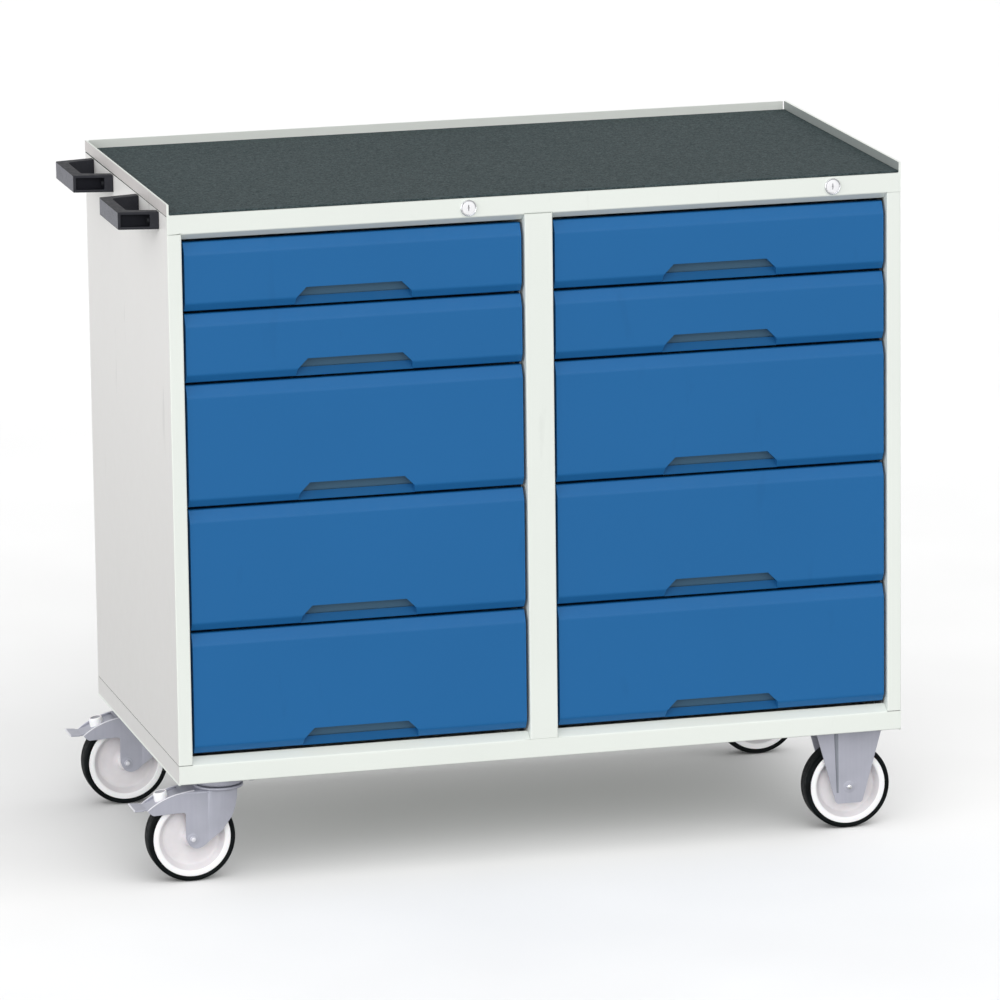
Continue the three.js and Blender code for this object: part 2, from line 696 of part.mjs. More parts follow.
const KINGPIN_RADIUS = 6;
const KINGPIN_FOOT = 126;
const RACE_FOOT = CROWN_TOP + CROWN_FLANGE + 0.5;
const RACE_RADIUS = 30;
const CONE_FOOT = 19; // radius of the fork's swelling at the axle's height and at the crown
const CONE_TOP = 31;

// The fixed half of a swivel head: plate, ball race and kingpin.
function swivelPlate() {
  const race = turned([
    [0, KINGPIN_FOOT],
    [KINGPIN_RADIUS, KINGPIN_FOOT],
    [KINGPIN_RADIUS, RACE_FOOT],
    [RACE_RADIUS - 4, RACE_FOOT],
    [RACE_RADIUS, RACE_FOOT + 4],
    [RACE_RADIUS, BASE - GAP - 2],
    [0, BASE - GAP - 2],
  ], 24);
  return join(mountingPlate(), race);
}

// A swivel fork's leg, and the wing that carries the brake, seen from the side.
function swivelShape() {
  const shape = new THREE.Shape();
  shape.moveTo(22, CROWN_TOP);
  shape.quadraticCurveTo(22, 110, 12.3, 91.4);
  shape.lineTo(-0.6, 73);
  shape.lineTo(-26, 52.6);
  shape.quadraticCurveTo(-TRAIL + 5, 45, -TRAIL - 4.6, 53);
  shape.lineTo(-TRAIL - 9.6, 64);
  shape.lineTo(-TRAIL - 9.6, 98);
  shape.quadraticCurveTo(-TRAIL - 10, 102, -TRAIL - 15, 102);
  shape.lineTo(-97, 100.2);
  shape.quadraticCurveTo(-102, 102, -106, 108);
  shape.quadraticCurveTo(-75, 134, -24, CROWN_TOP);
  return shape;
}

// One cheek, swollen into a cone round the swivel axis.
function swivelCheek(inner, outer) {
  const near = Math.min(inner, outer);
  const far = Math.max(inner, outer);
  const reach = Math.sign(inner) * CROWN_RADIUS;
  const sheet = alongY(swivelShape(), near, far);
  const swelling = common(
    turned([[0, AXLE_Z], [CONE_FOOT, AXLE_Z], [CONE_TOP, CROWN_TOP], [0, CROWN_TOP]], 24),
    alongY(swivelShape(), Math.min(inner, reach), Math.max(inner, reach)),
  );
  return join(sheet, swelling);
}

function swivelFork() {
  const crown = box(-32, 21, -CHEEK_OUTER, CHEEK_OUTER, CROWN_TOP - FORK_SHEET, CROWN_TOP);
  const flange = turned(rod(CROWN_RADIUS, CROWN_TOP - 2, CROWN_TOP + CROWN_FLANGE), 24);
  const cheeks = [-1, 1].map((side) => swivelCheek(side * FORK_INNER, side * CHEEK_OUTER));
  const kingpinHole = turned(rod(KINGPIN_RADIUS + 0.4, CROWN_TOP - 10, CROWN_TOP + 10), 16);
  return cut(join(crown, flange, ...cheeks), kingpinHole, axleHole(-TRAIL));
}

const PEDAL_PIVOT = { x: -46, z: 129.3 };
const PEDAL_PIVOT_RADIUS = 2.7;
const PEDAL_SHEET = 2.4;
const PEDAL_HALF = FORK_INNER - 1.3;
const TREAD_HALF = 22;
const PEDAL_TOP = [[-46, 130.6], [-62, 127.5], [-80, 121], [-98, 112], [-106, 109.5], [-124.5, 110.5]];
const TREAD_TOP = [[-110, 109.7], [-124.5, 110.5]];
const BUTTON = { radius: 10.3, height: 13, x: -81.5, z: 118.5, tilt: -0.2 };

function lowered(line, drop) {
  return line.map(([x, z]) => [x, z - drop]);
}

// A strip of sheet under a line in x and z.
function pedalStrip(line, half) {
  const under = lowered(line, PEDAL_SHEET).reverse();
  return alongY(outline([...line, ...under]), -half, half);
}

// The pedal lies between the fork's cheeks and ends in a wide level tread.
function brakePedal() {
  const sheet = pedalStrip(PEDAL_TOP, PEDAL_HALF);
  const tread = pedalStrip(TREAD_TOP, TREAD_HALF);
  const halfPivot = FORK_INNER - 0.6;
  const pivot = turnedY(rod(PEDAL_PIVOT_RADIUS, -halfPivot, halfPivot), 16)
    .translate(PEDAL_PIVOT.x, 0, PEDAL_PIVOT.z);
  const { radius, height } = BUTTON;
  const dome = [[0, -1.5], [radius, -1.5], [radius, height - 3.5], [radius - 1.5, height - 1], [0, height]];
  const post = turned(dome, 16).rotateY(BUTTON.tilt).translate(BUTTON.x, 0, BUTTON.z);
  const middle = lowered(PEDAL_TOP, PEDAL_SHEET / 2);
  const below = [...middle, [PEDAL_TOP.at(-1)[0], AXLE_Z], [PEDAL_PIVOT.x, AXLE_Z]];
  const button = cut(post, alongY(outline(below), -PEDAL_HALF, PEDAL_HALF));
  return join(sheet, tread, pivot, button);
}

const FIXED_CHEEK_TOP_HALF = 49.5;
const FIXED_CHEEK_FOOT_HALF = 20;

// A fixed fork: a plate with two tapering cheeks.
function fixedFork() {
  const bottom = AXLE_Z - 24;
  const top = BASE - GAP - 1;
  const foot = FIXED_CHEEK_FOOT_HALF;
  const cheek = new THREE.Shape();
  cheek.moveTo(-FIXED_CHEEK_TOP_HALF, top);
  cheek.lineTo(-foot, bottom + 3);
  cheek.quadraticCurveTo(-foot, bottom, 4 - foot, bottom);
  cheek.lineTo(foot - 4, bottom);
  cheek.quadraticCurveTo(foot, bottom, foot, bottom + 3);
  cheek.lineTo(FIXED_CHEEK_TOP_HALF, top);
  const cheeks = [-CHEEK_OUTER, FORK_INNER].map((y) => alongY(cheek, y, y + FORK_SHEET));
  return cut(join(mountingPlate(), ...cheeks), axleHole(0));
}

function castorGroup(x, y) {
  const group = new THREE.Group();
  group.position.set(x, y, 0);
  cabinet.add(group);
  return group;
}

function addWheel(name, axleX, group) {
  place(`castor_tyre_${name}`, tyre(axleX), tyreRubber(), group);
  place(`castor_wheel_${name}`, wheelCentre(axleX), whiteNylon(), group);
  place(`castor_axle_${name}`, axleBolt(axleX), zinc(), group);
}

// ---------- assembly ----------
place("base_tray", baseTray(), whitePaint());
place("side_panel_left", sidePanel(-1), whitePaint());
place("side_panel_right", sidePanel(1), whitePaint());
place("centre_partition", centrePartition(), whitePaint());
place("back_panel", backPanel(), whitePaint());
place("top_panel", topPanel(), whitePaint());
place("top_tray", topTray(), whitePaint());
place("top_mat", topMat(), matRubber());
place("push_handle_front", pushHandle(-HANDLE_SPREAD), greyPlastic());
place("push_handle_rear", pushHandle(HANDLE_SPREAD), greyPlastic());

for (const column of COLUMNS) {
  const x = lockX(column);
  place(`lock_housing_${column.name}`, lockHousing(), chrome()).position.set(x, FRONT, LOCK_Z);
  place(`lock_plug_${column.name}`, lockPlug(), chrome()).position.set(x, FRONT, LOCK_Z);
  place(`lock_bar_${column.name}`, lockBar(column), zinc());
  const middle = (column.from + column.to) / 2;
  drawerLines.forEach((line, index) => {
    const pitch = DRAWER_PITCHES[index];
    const label = `${column.name}_${index + 1}`;
    place(`drawer_front_${label}`, drawerFront(column, line, pitch), bluePaint()).position.x = middle;
    place(`drawer_box_${label}`, drawerBox(column, line, pitch), bluePaint()).position.x = middle;
  });
}

place("runner_rack_left_outer", runnerRack(LEFT + POST, 1, POST - SHEET), zinc());
place("runner_rack_left_inner", runnerRack(-CENTRE_POST / 2, -1, 0), zinc());
place("runner_rack_right_inner", runnerRack(CENTRE_POST / 2, 1, 0), zinc());
place("runner_rack_right_outer", runnerRack(RIGHT - POST, -1, POST - SHEET), zinc());

for (const [end, side] of [["front", -1], ["rear", 1]]) {
  const y = side * (DEPTH / 2 - CASTOR_INSET_Y);
  const swivel = castorGroup(LEFT + CASTOR_INSET_X, y);
  place(`castor_plate_left_${end}`, swivelPlate(), zinc(), swivel);
  place(`castor_fork_left_${end}`, swivelFork(), zinc(), swivel);
  place(`brake_pedal_left_${end}`, brakePedal(), zinc(), swivel);
  addWheel(`left_${end}`, -TRAIL, swivel);
  const fixed = castorGroup(RIGHT - CASTOR_INSET_X, y);
  place(`castor_fork_right_${end}`, fixedFork(), zinc(), fixed);
  addWheel(`right_${end}`, 0, fixed);
}

// The origin is on the floor, below the centre of the whole object.
const bounds = new THREE.Box3().setFromObject(cabinet);
const centre = bounds.getCenter(new THREE.Vector3());
cabinet.position.set(-centre.x, -centre.y, 0);

export default cabinet;
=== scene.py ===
"""Looks of a mobile drawer cabinet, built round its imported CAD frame.

Metres, +Z up, the front faces -Y; castor and lock shapes are written in millimetres.
"""
import math

import bmesh
import bpy
from mathutils import Matrix, Vector


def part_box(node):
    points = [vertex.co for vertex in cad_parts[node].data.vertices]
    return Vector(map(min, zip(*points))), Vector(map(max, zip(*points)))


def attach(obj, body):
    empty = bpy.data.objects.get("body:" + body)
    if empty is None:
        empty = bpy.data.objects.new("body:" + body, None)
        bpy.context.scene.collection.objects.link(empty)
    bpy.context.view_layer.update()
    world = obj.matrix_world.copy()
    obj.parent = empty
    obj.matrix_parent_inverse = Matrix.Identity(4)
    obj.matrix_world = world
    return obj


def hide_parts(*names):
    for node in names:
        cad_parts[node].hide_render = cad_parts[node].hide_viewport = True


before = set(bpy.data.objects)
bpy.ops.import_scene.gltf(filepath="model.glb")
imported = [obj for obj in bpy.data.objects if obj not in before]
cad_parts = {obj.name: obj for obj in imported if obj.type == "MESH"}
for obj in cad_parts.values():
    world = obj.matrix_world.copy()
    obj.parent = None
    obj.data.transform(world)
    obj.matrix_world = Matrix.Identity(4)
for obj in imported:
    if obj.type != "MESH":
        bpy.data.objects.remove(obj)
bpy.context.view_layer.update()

MM = 0.001
COLUMNS = ("left", "right")
ENDS = ("front", "rear")
DRAWERS = (1, 2, 3, 4, 5)


# ---------- camera and studio ----------
SENSOR, LENS = 36, 265.716  # millimetres
CAMERA_PLACE = (-2.5659, -9.9751, 2.7572)
YAW, PITCH, ROLL = 14.641, 12.555, -0.728  # degrees


def look_camera():
    """A long lens, above and to the left of the cabinet's front."""
    yaw, pitch, roll = (math.radians(angle) for angle in (YAW, PITCH, ROLL))
    data = bpy.data.cameras.new("view")
    data.sensor_width = SENSOR
    data.lens = LENS
    data.clip_end = 60
    camera = bpy.data.objects.new("view", data)
    turn = Matrix.Rotation(-yaw, 4, "Z") @ Matrix.Rotation(math.pi / 2 - pitch, 4, "X")
    camera.matrix_world = Matrix.Translation(CAMERA_PLACE) @ turn @ Matrix.Rotation(roll, 4, "Z")
    bpy.context.scene.collection.objects.link(camera)
    bpy.context.scene.camera = camera


def sun(name, direction, strength, spread, receiver=None):
    """A very soft far light; direction points from the cabinet to the light."""
    data = bpy.data.lights.new(name, "SUN")
    data.energy = strength
    data.angle = math.radians(spread)
    light = bpy.data.objects.new(name, data)
    light.rotation_euler = Vector(direction).to_track_quat("Z", "Y").to_euler()
    bpy.context.scene.collection.objects.link(light)
    if receiver:
        group = bpy.data.collections.new(name + "_receiver")
        group.objects.link(receiver)
        light.light_linking.receiver_collection = group


SKY_LOW, SKY_HORIZON, SKY_HIGH = 0.1, 0.8, 0.7


def studio(ground):
    """White backdrop; the light falls off below the horizon, as in a tent with a dark floor edge."""
    scene = bpy.context.scene
    scene.view_settings.view_transform = "Standard"
    world = bpy.data.worlds.new("studio")
    world.use_nodes = True
    tree = world.node_tree
    background = tree.nodes["Background"]
    coordinates = tree.nodes.new("ShaderNodeTexCoord")
    split = tree.nodes.new("ShaderNodeSeparateXYZ")
    ramp = tree.nodes.new("ShaderNodeValToRGB")
    rise = tree.nodes.new("ShaderNodeMapRange")
    rise.inputs["From Min"].default_value = -1
    rise.inputs["From Max"].default_value = 1
    stops = ((0.0, SKY_LOW), (0.5, SKY_HORIZON), (0.75, SKY_HIGH))
    for index, (place, value) in enumerate(stops):
        element = ramp.color_ramp.elements[index] if index < 2 else ramp.color_ramp.elements.new(place)
        element.position = place
        element.color = (value, value, value, 1)
    path = tree.nodes.new("ShaderNodeLightPath")
    mix = tree.nodes.new("ShaderNodeMix")
    mix.data_type = "RGBA"
    mix.inputs[7].default_value = (1, 1, 1, 1)
    tree.links.new(coordinates.outputs["Generated"], split.inputs[0])
    tree.links.new(split.outputs["Z"], rise.inputs["Value"])
    tree.links.new(rise.outputs["Result"], ramp.inputs["Fac"])
    tree.links.new(path.outputs["Is Camera Ray"], mix.inputs[0])
    tree.links.new(ramp.outputs["Color"], mix.inputs[6])
    tree.links.new(mix.outputs[2], background.inputs["Color"])
    scene.world = world
    sun("key_left", (-0.92, -0.38, 0.12), 1.1, 50)
    sun("key_front", (-0.15, -0.9, 0.42), 1.15, 60)
    sun("floor_wash", (0.5, -0.7, 1.0), 2.1, 90, ground)


def floor():
    bm = bmesh.new()
    bmesh.ops.create_grid(bm, x_segments=1, y_segments=1, size=30)
    obj = from_bmesh("floor", bm, floor_paint())
    obj.visible_diffuse = False
    obj.visible_glossy = False
    return obj


# ---------- materials ----------
def srgb(red, green, blue):
    def linear(value):
        value /= 255
        return value / 12.92 if value <= 0.04045 else ((value + 0.055) / 1.055) ** 2.4
    return (linear(red), linear(green), linear(blue), 1)


class Look:
    """A Principled material with helpers for procedural detail in the object's own coordinates."""

    def __init__(self, name, metallic=0.0, **constants):
        self.material = bpy.data.materials.new(name)
        self.material.use_nodes = True
        self.tree = self.material.node_tree
        self.shader = self.tree.nodes["Principled BSDF"]
        self.shader.inputs["Metallic"].default_value = metallic
        for socket, value in constants.items():
            self.shader.inputs[socket.replace("_", " ")].default_value = value
        self.coordinates = self.tree.nodes.new("ShaderNodeTexCoord").outputs["Object"]
        self.bump_normal = None

    def node(self, kind, **values):
        node = self.tree.nodes.new(kind)
        for key, value in values.items():
            node.inputs[key.replace("_", " ")].default_value = value
        return node

    def link(self, source, target):
        self.tree.links.new(source, target)

    def stretched(self, scale):
        mapping = self.node("ShaderNodeMapping")
        mapping.inputs["Scale"].default_value = scale
        self.link(self.coordinates, mapping.inputs["Vector"])
        return mapping.outputs["Vector"]

    def noise(self, scale, detail=2.0, stretch=None, roughness=0.5):
        node = self.node("ShaderNodeTexNoise", Scale=scale, Detail=detail, Roughness=roughness)
        self.link(self.stretched(stretch) if stretch else self.coordinates, node.inputs["Vector"])
        return node.outputs["Fac"]

    def height(self):
        split = self.node("ShaderNodeSeparateXYZ")
        self.link(self.coordinates, split.inputs[0])
        return split.outputs["Z"]

    def cells(self, scale):
        node = self.node("ShaderNodeTexVoronoi", Scale=scale)
        self.link(self.coordinates, node.inputs["Vector"])
        return node.outputs["Color"]

    def ramp(self, factor, low, high, start=0.3, end=0.7):
        """Maps a factor between two numbers or two colours."""
        node = self.tree.nodes.new("ShaderNodeMapRange") if isinstance(low, float) else None
        if node:
            node.inputs["From Min"].default_value = start
            node.inputs["From Max"].default_value = end
            node.inputs["To Min"].default_value = low
            node.inputs["To Max"].default_value = high
            self.link(factor, node.inputs["Value"])
            return node.outputs["Result"]
        node = self.tree.nodes.new("ShaderNodeValToRGB")
        node.color_ramp.elements[0].position = start
        node.color_ramp.elements[0].color = low
        node.color_ramp.elements[1].position = end
        node.color_ramp.elements[1].color = high
        self.link(factor, node.inputs["Fac"])
        return node.outputs["Color"]

    def mix(self, factor, first, second, blend="MIX"):
        node = self.tree.nodes.new("ShaderNodeMix")
        node.data_type = "RGBA"
        node.blend_type = blend
        for index, value in ((0, factor), (6, first), (7, second)):
            socket = node.inputs[index]
            if isinstance(value, (float, tuple)):
                socket.default_value = value
            else:
                self.link(value, socket)
        return node.outputs[2]

    def colour(self, output):
        self.link(output, self.shader.inputs["Base Color"])

    def rough(self, scale, detail, low, high):
        """Roughness that wanders between two numbers."""
        self.link(self.ramp(self.noise(scale, detail), low, high), self.shader.inputs["Roughness"])

    def bump(self, scale, detail, strength, distance, stretch=None):
        height = self.noise(scale, detail, stretch)
        node = self.node("ShaderNodeBump", Strength=strength, Distance=distance)
        self.link(height, node.inputs["Height"])
        if self.bump_normal:
            self.link(self.bump_normal, node.inputs["Normal"])
        self.bump_normal = node.outputs["Normal"]
        self.link(self.bump_normal, self.shader.inputs["Normal"])


def tone(colour, factor):
    return tuple(min(1.0, c * factor) for c in colour[:3]) + (1,)


def powder_coat(name, colour, roughness=0.42, scuff=0.92, gloss=0.4, shade_below=None):
    """Baked paint: orange peel, faint clouding, sparse scuff marks, and, when asked, painted shade that
    darkens it towards the floor.
    """
    look = Look(name, Specular_IOR_Level=gloss)
    cloud = look.ramp(look.noise(3.5, 3.0), tone(colour, 0.975), tone(colour, 1.01))
    # painted shade: towards the floor the paint turns to the darker colour given for it
    if shade_below:
        cloud = look.mix(look.ramp(look.height(), 1.0, 0.0, 0.15, 0.95), cloud, shade_below)
    marks = look.ramp(look.noise(28.0, 5.0, stretch=(1, 1, 0.25)), 0.0, 1.0, 0.66, 0.74)
    look.colour(look.mix(marks, cloud, tone(colour, scuff)))
    look.rough(55.0, 3.0, roughness - 0.05, roughness + 0.06)
    look.bump(750.0, 1.0, 0.12, 0.0004)
    look.bump(90.0, 2.0, 0.05, 0.0008)
    return look.material


def mat_sheet():
    """Speckled rubber sheet with a fine grained surface."""
    look = Look("mat_rubber", Specular_IOR_Level=0.16)
    fine = look.ramp(look.noise(420.0, 2.0), srgb(31, 44, 46), srgb(85, 99, 101), 0.38, 0.64)
    broad = look.ramp(look.noise(110.0, 3.0), srgb(47, 60, 62), srgb(67, 80, 82), 0.35, 0.65)
    mixed = look.mix(0.45, fine, broad)
    worn = look.ramp(look.noise(2.2, 4.0), srgb(236, 240, 240), srgb(255, 255, 255), 0.3, 0.7)
    look.colour(look.mix(1.0, mixed, worn, "MULTIPLY"))
    look.rough(240.0, 2.0, 0.62, 0.82)
    look.bump(520.0, 2.0, 0.5, 0.0006)
    return look.material


def moulded_plastic(name, colour, roughness, grain=900.0, grain_strength=0.3, specks=None, gloss=0.5):
    look = Look(name, Specular_IOR_Level=gloss)
    shades = look.ramp(look.noise(60.0, 3.0), tone(colour, 0.9), tone(colour, 1.08))
    if specks:
        dots = look.ramp(look.noise(1300.0, 2.0), 0.0, 0.5, 0.55, 0.7)
        shades = look.mix(dots, shades, specks)
    look.colour(shades)
    look.rough(140.0, 2.0, roughness - 0.07, roughness + 0.08)
    look.bump(grain, 2.0, grain_strength, 0.0003)
    return look.material


def white_nylon(name, low, high):
    look = Look(name, Specular_IOR_Level=0.4, Subsurface_Weight=0.05, Subsurface_Scale=0.002)
    look.colour(look.ramp(look.noise(30.0, 3.0), low, high))
    look.rough(90.0, 2.0, 0.32, 0.46)
    look.bump(380.0, 2.0, 0.06, 0.0004)
    return look.material


def zinc_plate(name, low, high, metallic=0.35):
    """Bright zinc on pressed steel: faint clouding, drawing lines and dull patches."""
    look = Look(name, metallic=metallic, Specular_IOR_Level=0.5)
    cloud = look.ramp(look.noise(22.0, 4.0), low, high)
    streaks = look.noise(240.0, 3.0, stretch=(1, 1, 0.04))
    lines = look.ramp(streaks, srgb(251, 251, 252), srgb(255, 255, 255), 0.35, 0.6)
    look.colour(look.mix(1.0, cloud, lines, "MULTIPLY"))
    look.rough(45.0, 4.0, 0.34, 0.48)
    look.bump(500.0, 2.0, 0.04, 0.0003)
    return look.material


def galvanised_steel():
    look = Look("runner_steel", metallic=0.85)
    spangle = look.ramp(look.cells(90.0), srgb(160, 163, 168), srgb(190, 192, 196), 0.2, 0.8)
    patches = look.ramp(look.noise(14.0, 4.0), srgb(215, 215, 218), srgb(255, 255, 255))
    look.colour(look.mix(1.0, spangle, patches, "MULTIPLY"))
    look.rough(60.0, 3.0, 0.34, 0.5)
    look.bump(500.0, 2.0, 0.1, 0.0003, stretch=(1, 0.08, 1))
    return look.material


def bright_chrome():
    look = Look("lock_chrome", metallic=1.0)
    look.colour(look.ramp(look.noise(300.0, 2.0), srgb(228, 229, 232), srgb(246, 247, 248)))
    look.rough(420.0, 3.0, 0.1, 0.24)
    look.bump(1500.0, 2.0, 0.03, 0.0002)
    return look.material


def black_tyre():
    look = Look("tyre", Specular_IOR_Level=0.08)
    dust = look.ramp(look.noise(70.0, 4.0), srgb(8, 12, 13), srgb(20, 24, 26), 0.35, 0.75)
    look.colour(dust)
    look.rough(180.0, 3.0, 0.42, 0.66)
    look.bump(650.0, 3.0, 0.25, 0.0003)
    return look.material


def dark_steel():
    # painted shade: the handle screws are near-black so that they sink into the shade of the pockets
    look = Look("screw_steel_painted_shade", metallic=0.2, Specular_IOR_Level=0.15)
    look.colour(look.ramp(look.noise(200.0, 3.0), srgb(18, 19, 22), srgb(34, 36, 40)))
    look.rough(260.0, 3.0, 0.55, 0.7)
    look.bump(900.0, 2.0, 0.1, 0.0002)
    return look.material


def floor_paint():
    look = Look("studio_floor", Specular_IOR_Level=0.2)
    look.colour(look.ramp(look.noise(2.0, 2.0), srgb(220, 220, 220), srgb(224, 224, 224)))
    look.rough(4.0, 2.0, 0.7, 0.8)
    return look.material


# ---------- mesh helpers ----------
def from_bmesh(name, bm, material):
    mesh = bpy.data.meshes.new(name)
    bmesh.ops.recalc_face_normals(bm, faces=bm.faces)
    bm.to_mesh(mesh)
    bm.free()
    mesh.materials.append(material)
    obj = bpy.data.objects.new(name, mesh)
    bpy.context.scene.collection.objects.link(obj)
    return obj


def apply_modifiers(obj):
    bpy.context.view_layer.update()
    depsgraph = bpy.context.evaluated_depsgraph_get()
    mesh = bpy.data.meshes.new_from_object(obj.evaluated_get(depsgraph))
    obj.modifiers.clear()
    obj.data = mesh
    return obj


def soften(obj, width, segments=3, angle=30):
    """Rounds the edges, then shades smooth with large faces kept flat."""
    if width > 0:
        bevel = obj.modifiers.new("round", "BEVEL")
        bevel.width = width
        bevel.segments = segments
        bevel.limit_method = "ANGLE"
        bevel.angle_limit = math.radians(angle)
        bevel.use_clamp_overlap = True
        bevel.miter_outer = "MITER_ARC"
        apply_modifiers(obj)
    return shade(obj)


def shade(obj):
    """Smooth shading, with edges sharper than 50 degrees kept crisp."""
    obj.data.shade_smooth()
    obj.data.set_sharp_from_angle(angle=math.radians(50))
    weighted = obj.modifiers.new("weighted", "WEIGHTED_NORMAL")
    weighted.keep_sharp = True
    return apply_modifiers(obj)


def boolean(obj, tool, operation):
    modifier = obj.modifiers.new("cut", "BOOLEAN")
    modifier.operation = operation
    modifier.object = tool
    modifier.solver = "EXACT"
    apply_modifiers(obj)
    bpy.data.objects.remove(tool)
    return obj


def clean_copy(node, convex=False):
    """A bmesh of a CAD node with its flat faces whole again, or made of convex pieces."""
    bm = bmesh.new()
    bm.from_mesh(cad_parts[node].data)
    bmesh.ops.remove_doubles(bm, verts=bm.verts, dist=0.01 * MM)
    bmesh.ops.dissolve_limit(bm, angle_limit=math.radians(0.5), verts=bm.verts, edges=bm.edges)
    if convex:
        bmesh.ops.connect_verts_concave(bm, faces=bm.faces)
    return bm


FOLD_LENGTH = 30 * MM
FLAT_WIDTH = 3.2 * MM  # wider than a sheet's cut edge


def is_fold(edge):
    """A long convex edge between two broad faces, as a fold in a sheet is."""
    if len(edge.link_faces) != 2 or not edge.is_convex:
        return False
    length = edge.calc_length()
    if length < FOLD_LENGTH or edge.calc_face_angle(0) < math.radians(30):
        return False
    return all(face.calc_area() / length > FLAT_WIDTH for face in edge.link_faces)


def sheet_metal(node, name, material, bend=1.7 * MM, rim=0.35 * MM, convex=False):
    """Stands for a folded CAD node: rounded folds, and fine rounding on the cut edges."""
    bm = clean_copy(node, convex)
    folds = [edge for edge in bm.edges if is_fold(edge)]
    bmesh.ops.bevel(
        bm, geom=folds, offset=bend, segments=4, profile=0.5, affect="EDGES", clamp_overlap=True)
    obj = from_bmesh(name, bm, material)
    soften(obj, rim, 2, 40)
    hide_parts(node)
    return obj


def refined(node, name, material, width, segments=2, angle=30):
    obj = from_bmesh(name, clean_copy(node), material)
    soften(obj, width, segments, angle)
    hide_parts(node)
    return obj


def add_to(obj, body):
    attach(obj, body)
    return obj


def stand_for(obj, node, body):
    """Puts an object in the place of a CAD node."""
    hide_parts(node)
    return add_to(obj, body)


def more_materials(obj, *materials):
    for material in materials:
        obj.data.materials.append(material)


def paint_faces(obj, index, chosen):
    """Gives the chosen faces one of the object's materials."""
    for face in obj.data.polygons:
        if chosen(face):
            face.material_index = index


def lathe(name, profile, material, segments=96):
    """Turns a closed or axis-to-axis list of (radius, height) in millimetres about Z."""
    bm = bmesh.new()
    closed = profile[0] == profile[-1]
    points = [(r * MM, h * MM) for r, h in (profile[:-1] if closed else profile)]
    rings = []
    for step in range(segments):
        angle = 2 * math.pi * step / segments
        rings.append([
            bm.verts.new((r * math.cos(angle), r * math.sin(angle), h)) for r, h in points
        ])
    count = len(points)
    spans = count if closed else count - 1
    for step in range(segments):
        here, there = rings[step], rings[(step + 1) % segments]
        for k in range(spans):
            j = (k + 1) % count
            bm.faces.new((here[k], there[k], there[j], here[j]))
    bmesh.ops.remove_doubles(bm, verts=bm.verts, dist=1e-7)
    bmesh.ops.dissolve_degenerate(bm, edges=bm.edges, dist=1e-8)
    return from_bmesh(name, bm, material)


def wall_between(bm, first, second, closed=True):
    """Quads between two rows of vertices; a closed wall also joins each row's end to its start."""
    for k in range(len(first) if closed else len(first) - 1):
        j = (k + 1) % len(first)
        bm.faces.new((first[k], first[j], second[j], second[k]))


def prism(name, points, depth, material):
    """Extrudes a polygon of (x, y) pairs upwards from z = 0."""
    bm = bmesh.new()
    low = [bm.verts.new((x, y, 0)) for x, y in points]
    high = [bm.verts.new((x, y, depth)) for x, y in points]
    bm.faces.new(low)
    bm.faces.new(high)
    wall_between(bm, low, high)
    return from_bmesh(name, bm, material)


def long_prism(name, section, x0, x1, material):
    """Extrudes a polygon of (y, z) pairs along X, all in millimetres."""
    bm = bmesh.new()
    start = [bm.verts.new((x0 * MM, y * MM, z * MM)) for y, z in section]
    end = [bm.verts.new((x1 * MM, y * MM, z * MM)) for y, z in section]
    wall_between(bm, start, end)
    bm.faces.new(start)
    bm.faces.new(end)
    return from_bmesh(name, bm, material)


def box_object(name, low, high, material):
    bm = bmesh.new()
    bmesh.ops.create_cube(bm, size=1)
    size = Vector(high) - Vector(low)
    middle = (Vector(high) + Vector(low)) / 2
    for vertex in bm.verts:
        vertex.co = Vector(a * b for a, b in zip(vertex.co, size)) + middle
    return from_bmesh(name, bm, material)


def centre_of(node):
    low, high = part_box(node)
    return (low + high) / 2


def transform(obj, matrix):
    obj.data.transform(matrix)
    return obj


def moved(obj, x, y, z):
    return transform(obj, Matrix.Translation((x, y, z)))


def joined(name, pieces):
    """One object from several, with their shading normals kept."""
    bpy.ops.object.select_all(action="DESELECT")
    for piece in pieces:
        piece.select_set(True)
    bpy.context.view_layer.objects.active = pieces[0]
    if len(pieces) > 1:
        bpy.ops.object.join()
    whole = bpy.context.view_layer.objects.active
    whole.name = name
    whole.data.name = name
    return whole


def arc(cx, cy, radius, start, end, steps):
    """Points on an arc; angles in degrees."""
    points = []
    for step in range(steps + 1):
        angle = math.radians(start + (end - start) * step / steps)
        points.append((cx + radius * math.cos(angle), cy + radius * math.sin(angle)))
    return points


def curve(start, control, end, steps, first=0):
    """Points on a line from start to end that bends towards control; first=1 leaves out the start."""
    start, control, end = Vector(start), Vector(control), Vector(end)
    points = []
    for step in range(first, steps + 1):
        t = step / steps
        points.append(tuple(start * (1 - t) ** 2 + control * 2 * t * (1 - t) + end * t * t))
    return points


def bend_points(before, here, after, radius, steps):
    """A fold from one straight to the next, as a short curve."""
    before, here, after = Vector(before), Vector(here), Vector(after)
    start = here + (before - here).normalized() * radius
    end = here + (after - here).normalized() * radius
    return curve(start, here, end, steps)


Y_FROM_Z = Matrix.Rotation(math.pi / 2, 4, "X")  # turns a shape drawn in (x, z) and raised along -Y


def upright_prism(name, points, y0, y1, material):
    """Extrudes a polygon of (x, z) pairs from y0 to y1, all in millimetres."""
    obj = prism(name, [(x * MM, z * MM) for x, z in points], (y1 - y0) * MM, material)
    return moved(transform(obj, Y_FROM_Z), 0, y1 * MM, 0)


def turned_on_y(name, profile, material, segments=96):
    """A lathe about Y: the profile's height grows towards -Y."""
    return transform(lathe(name, profile, material, segments), Y_FROM_Z)


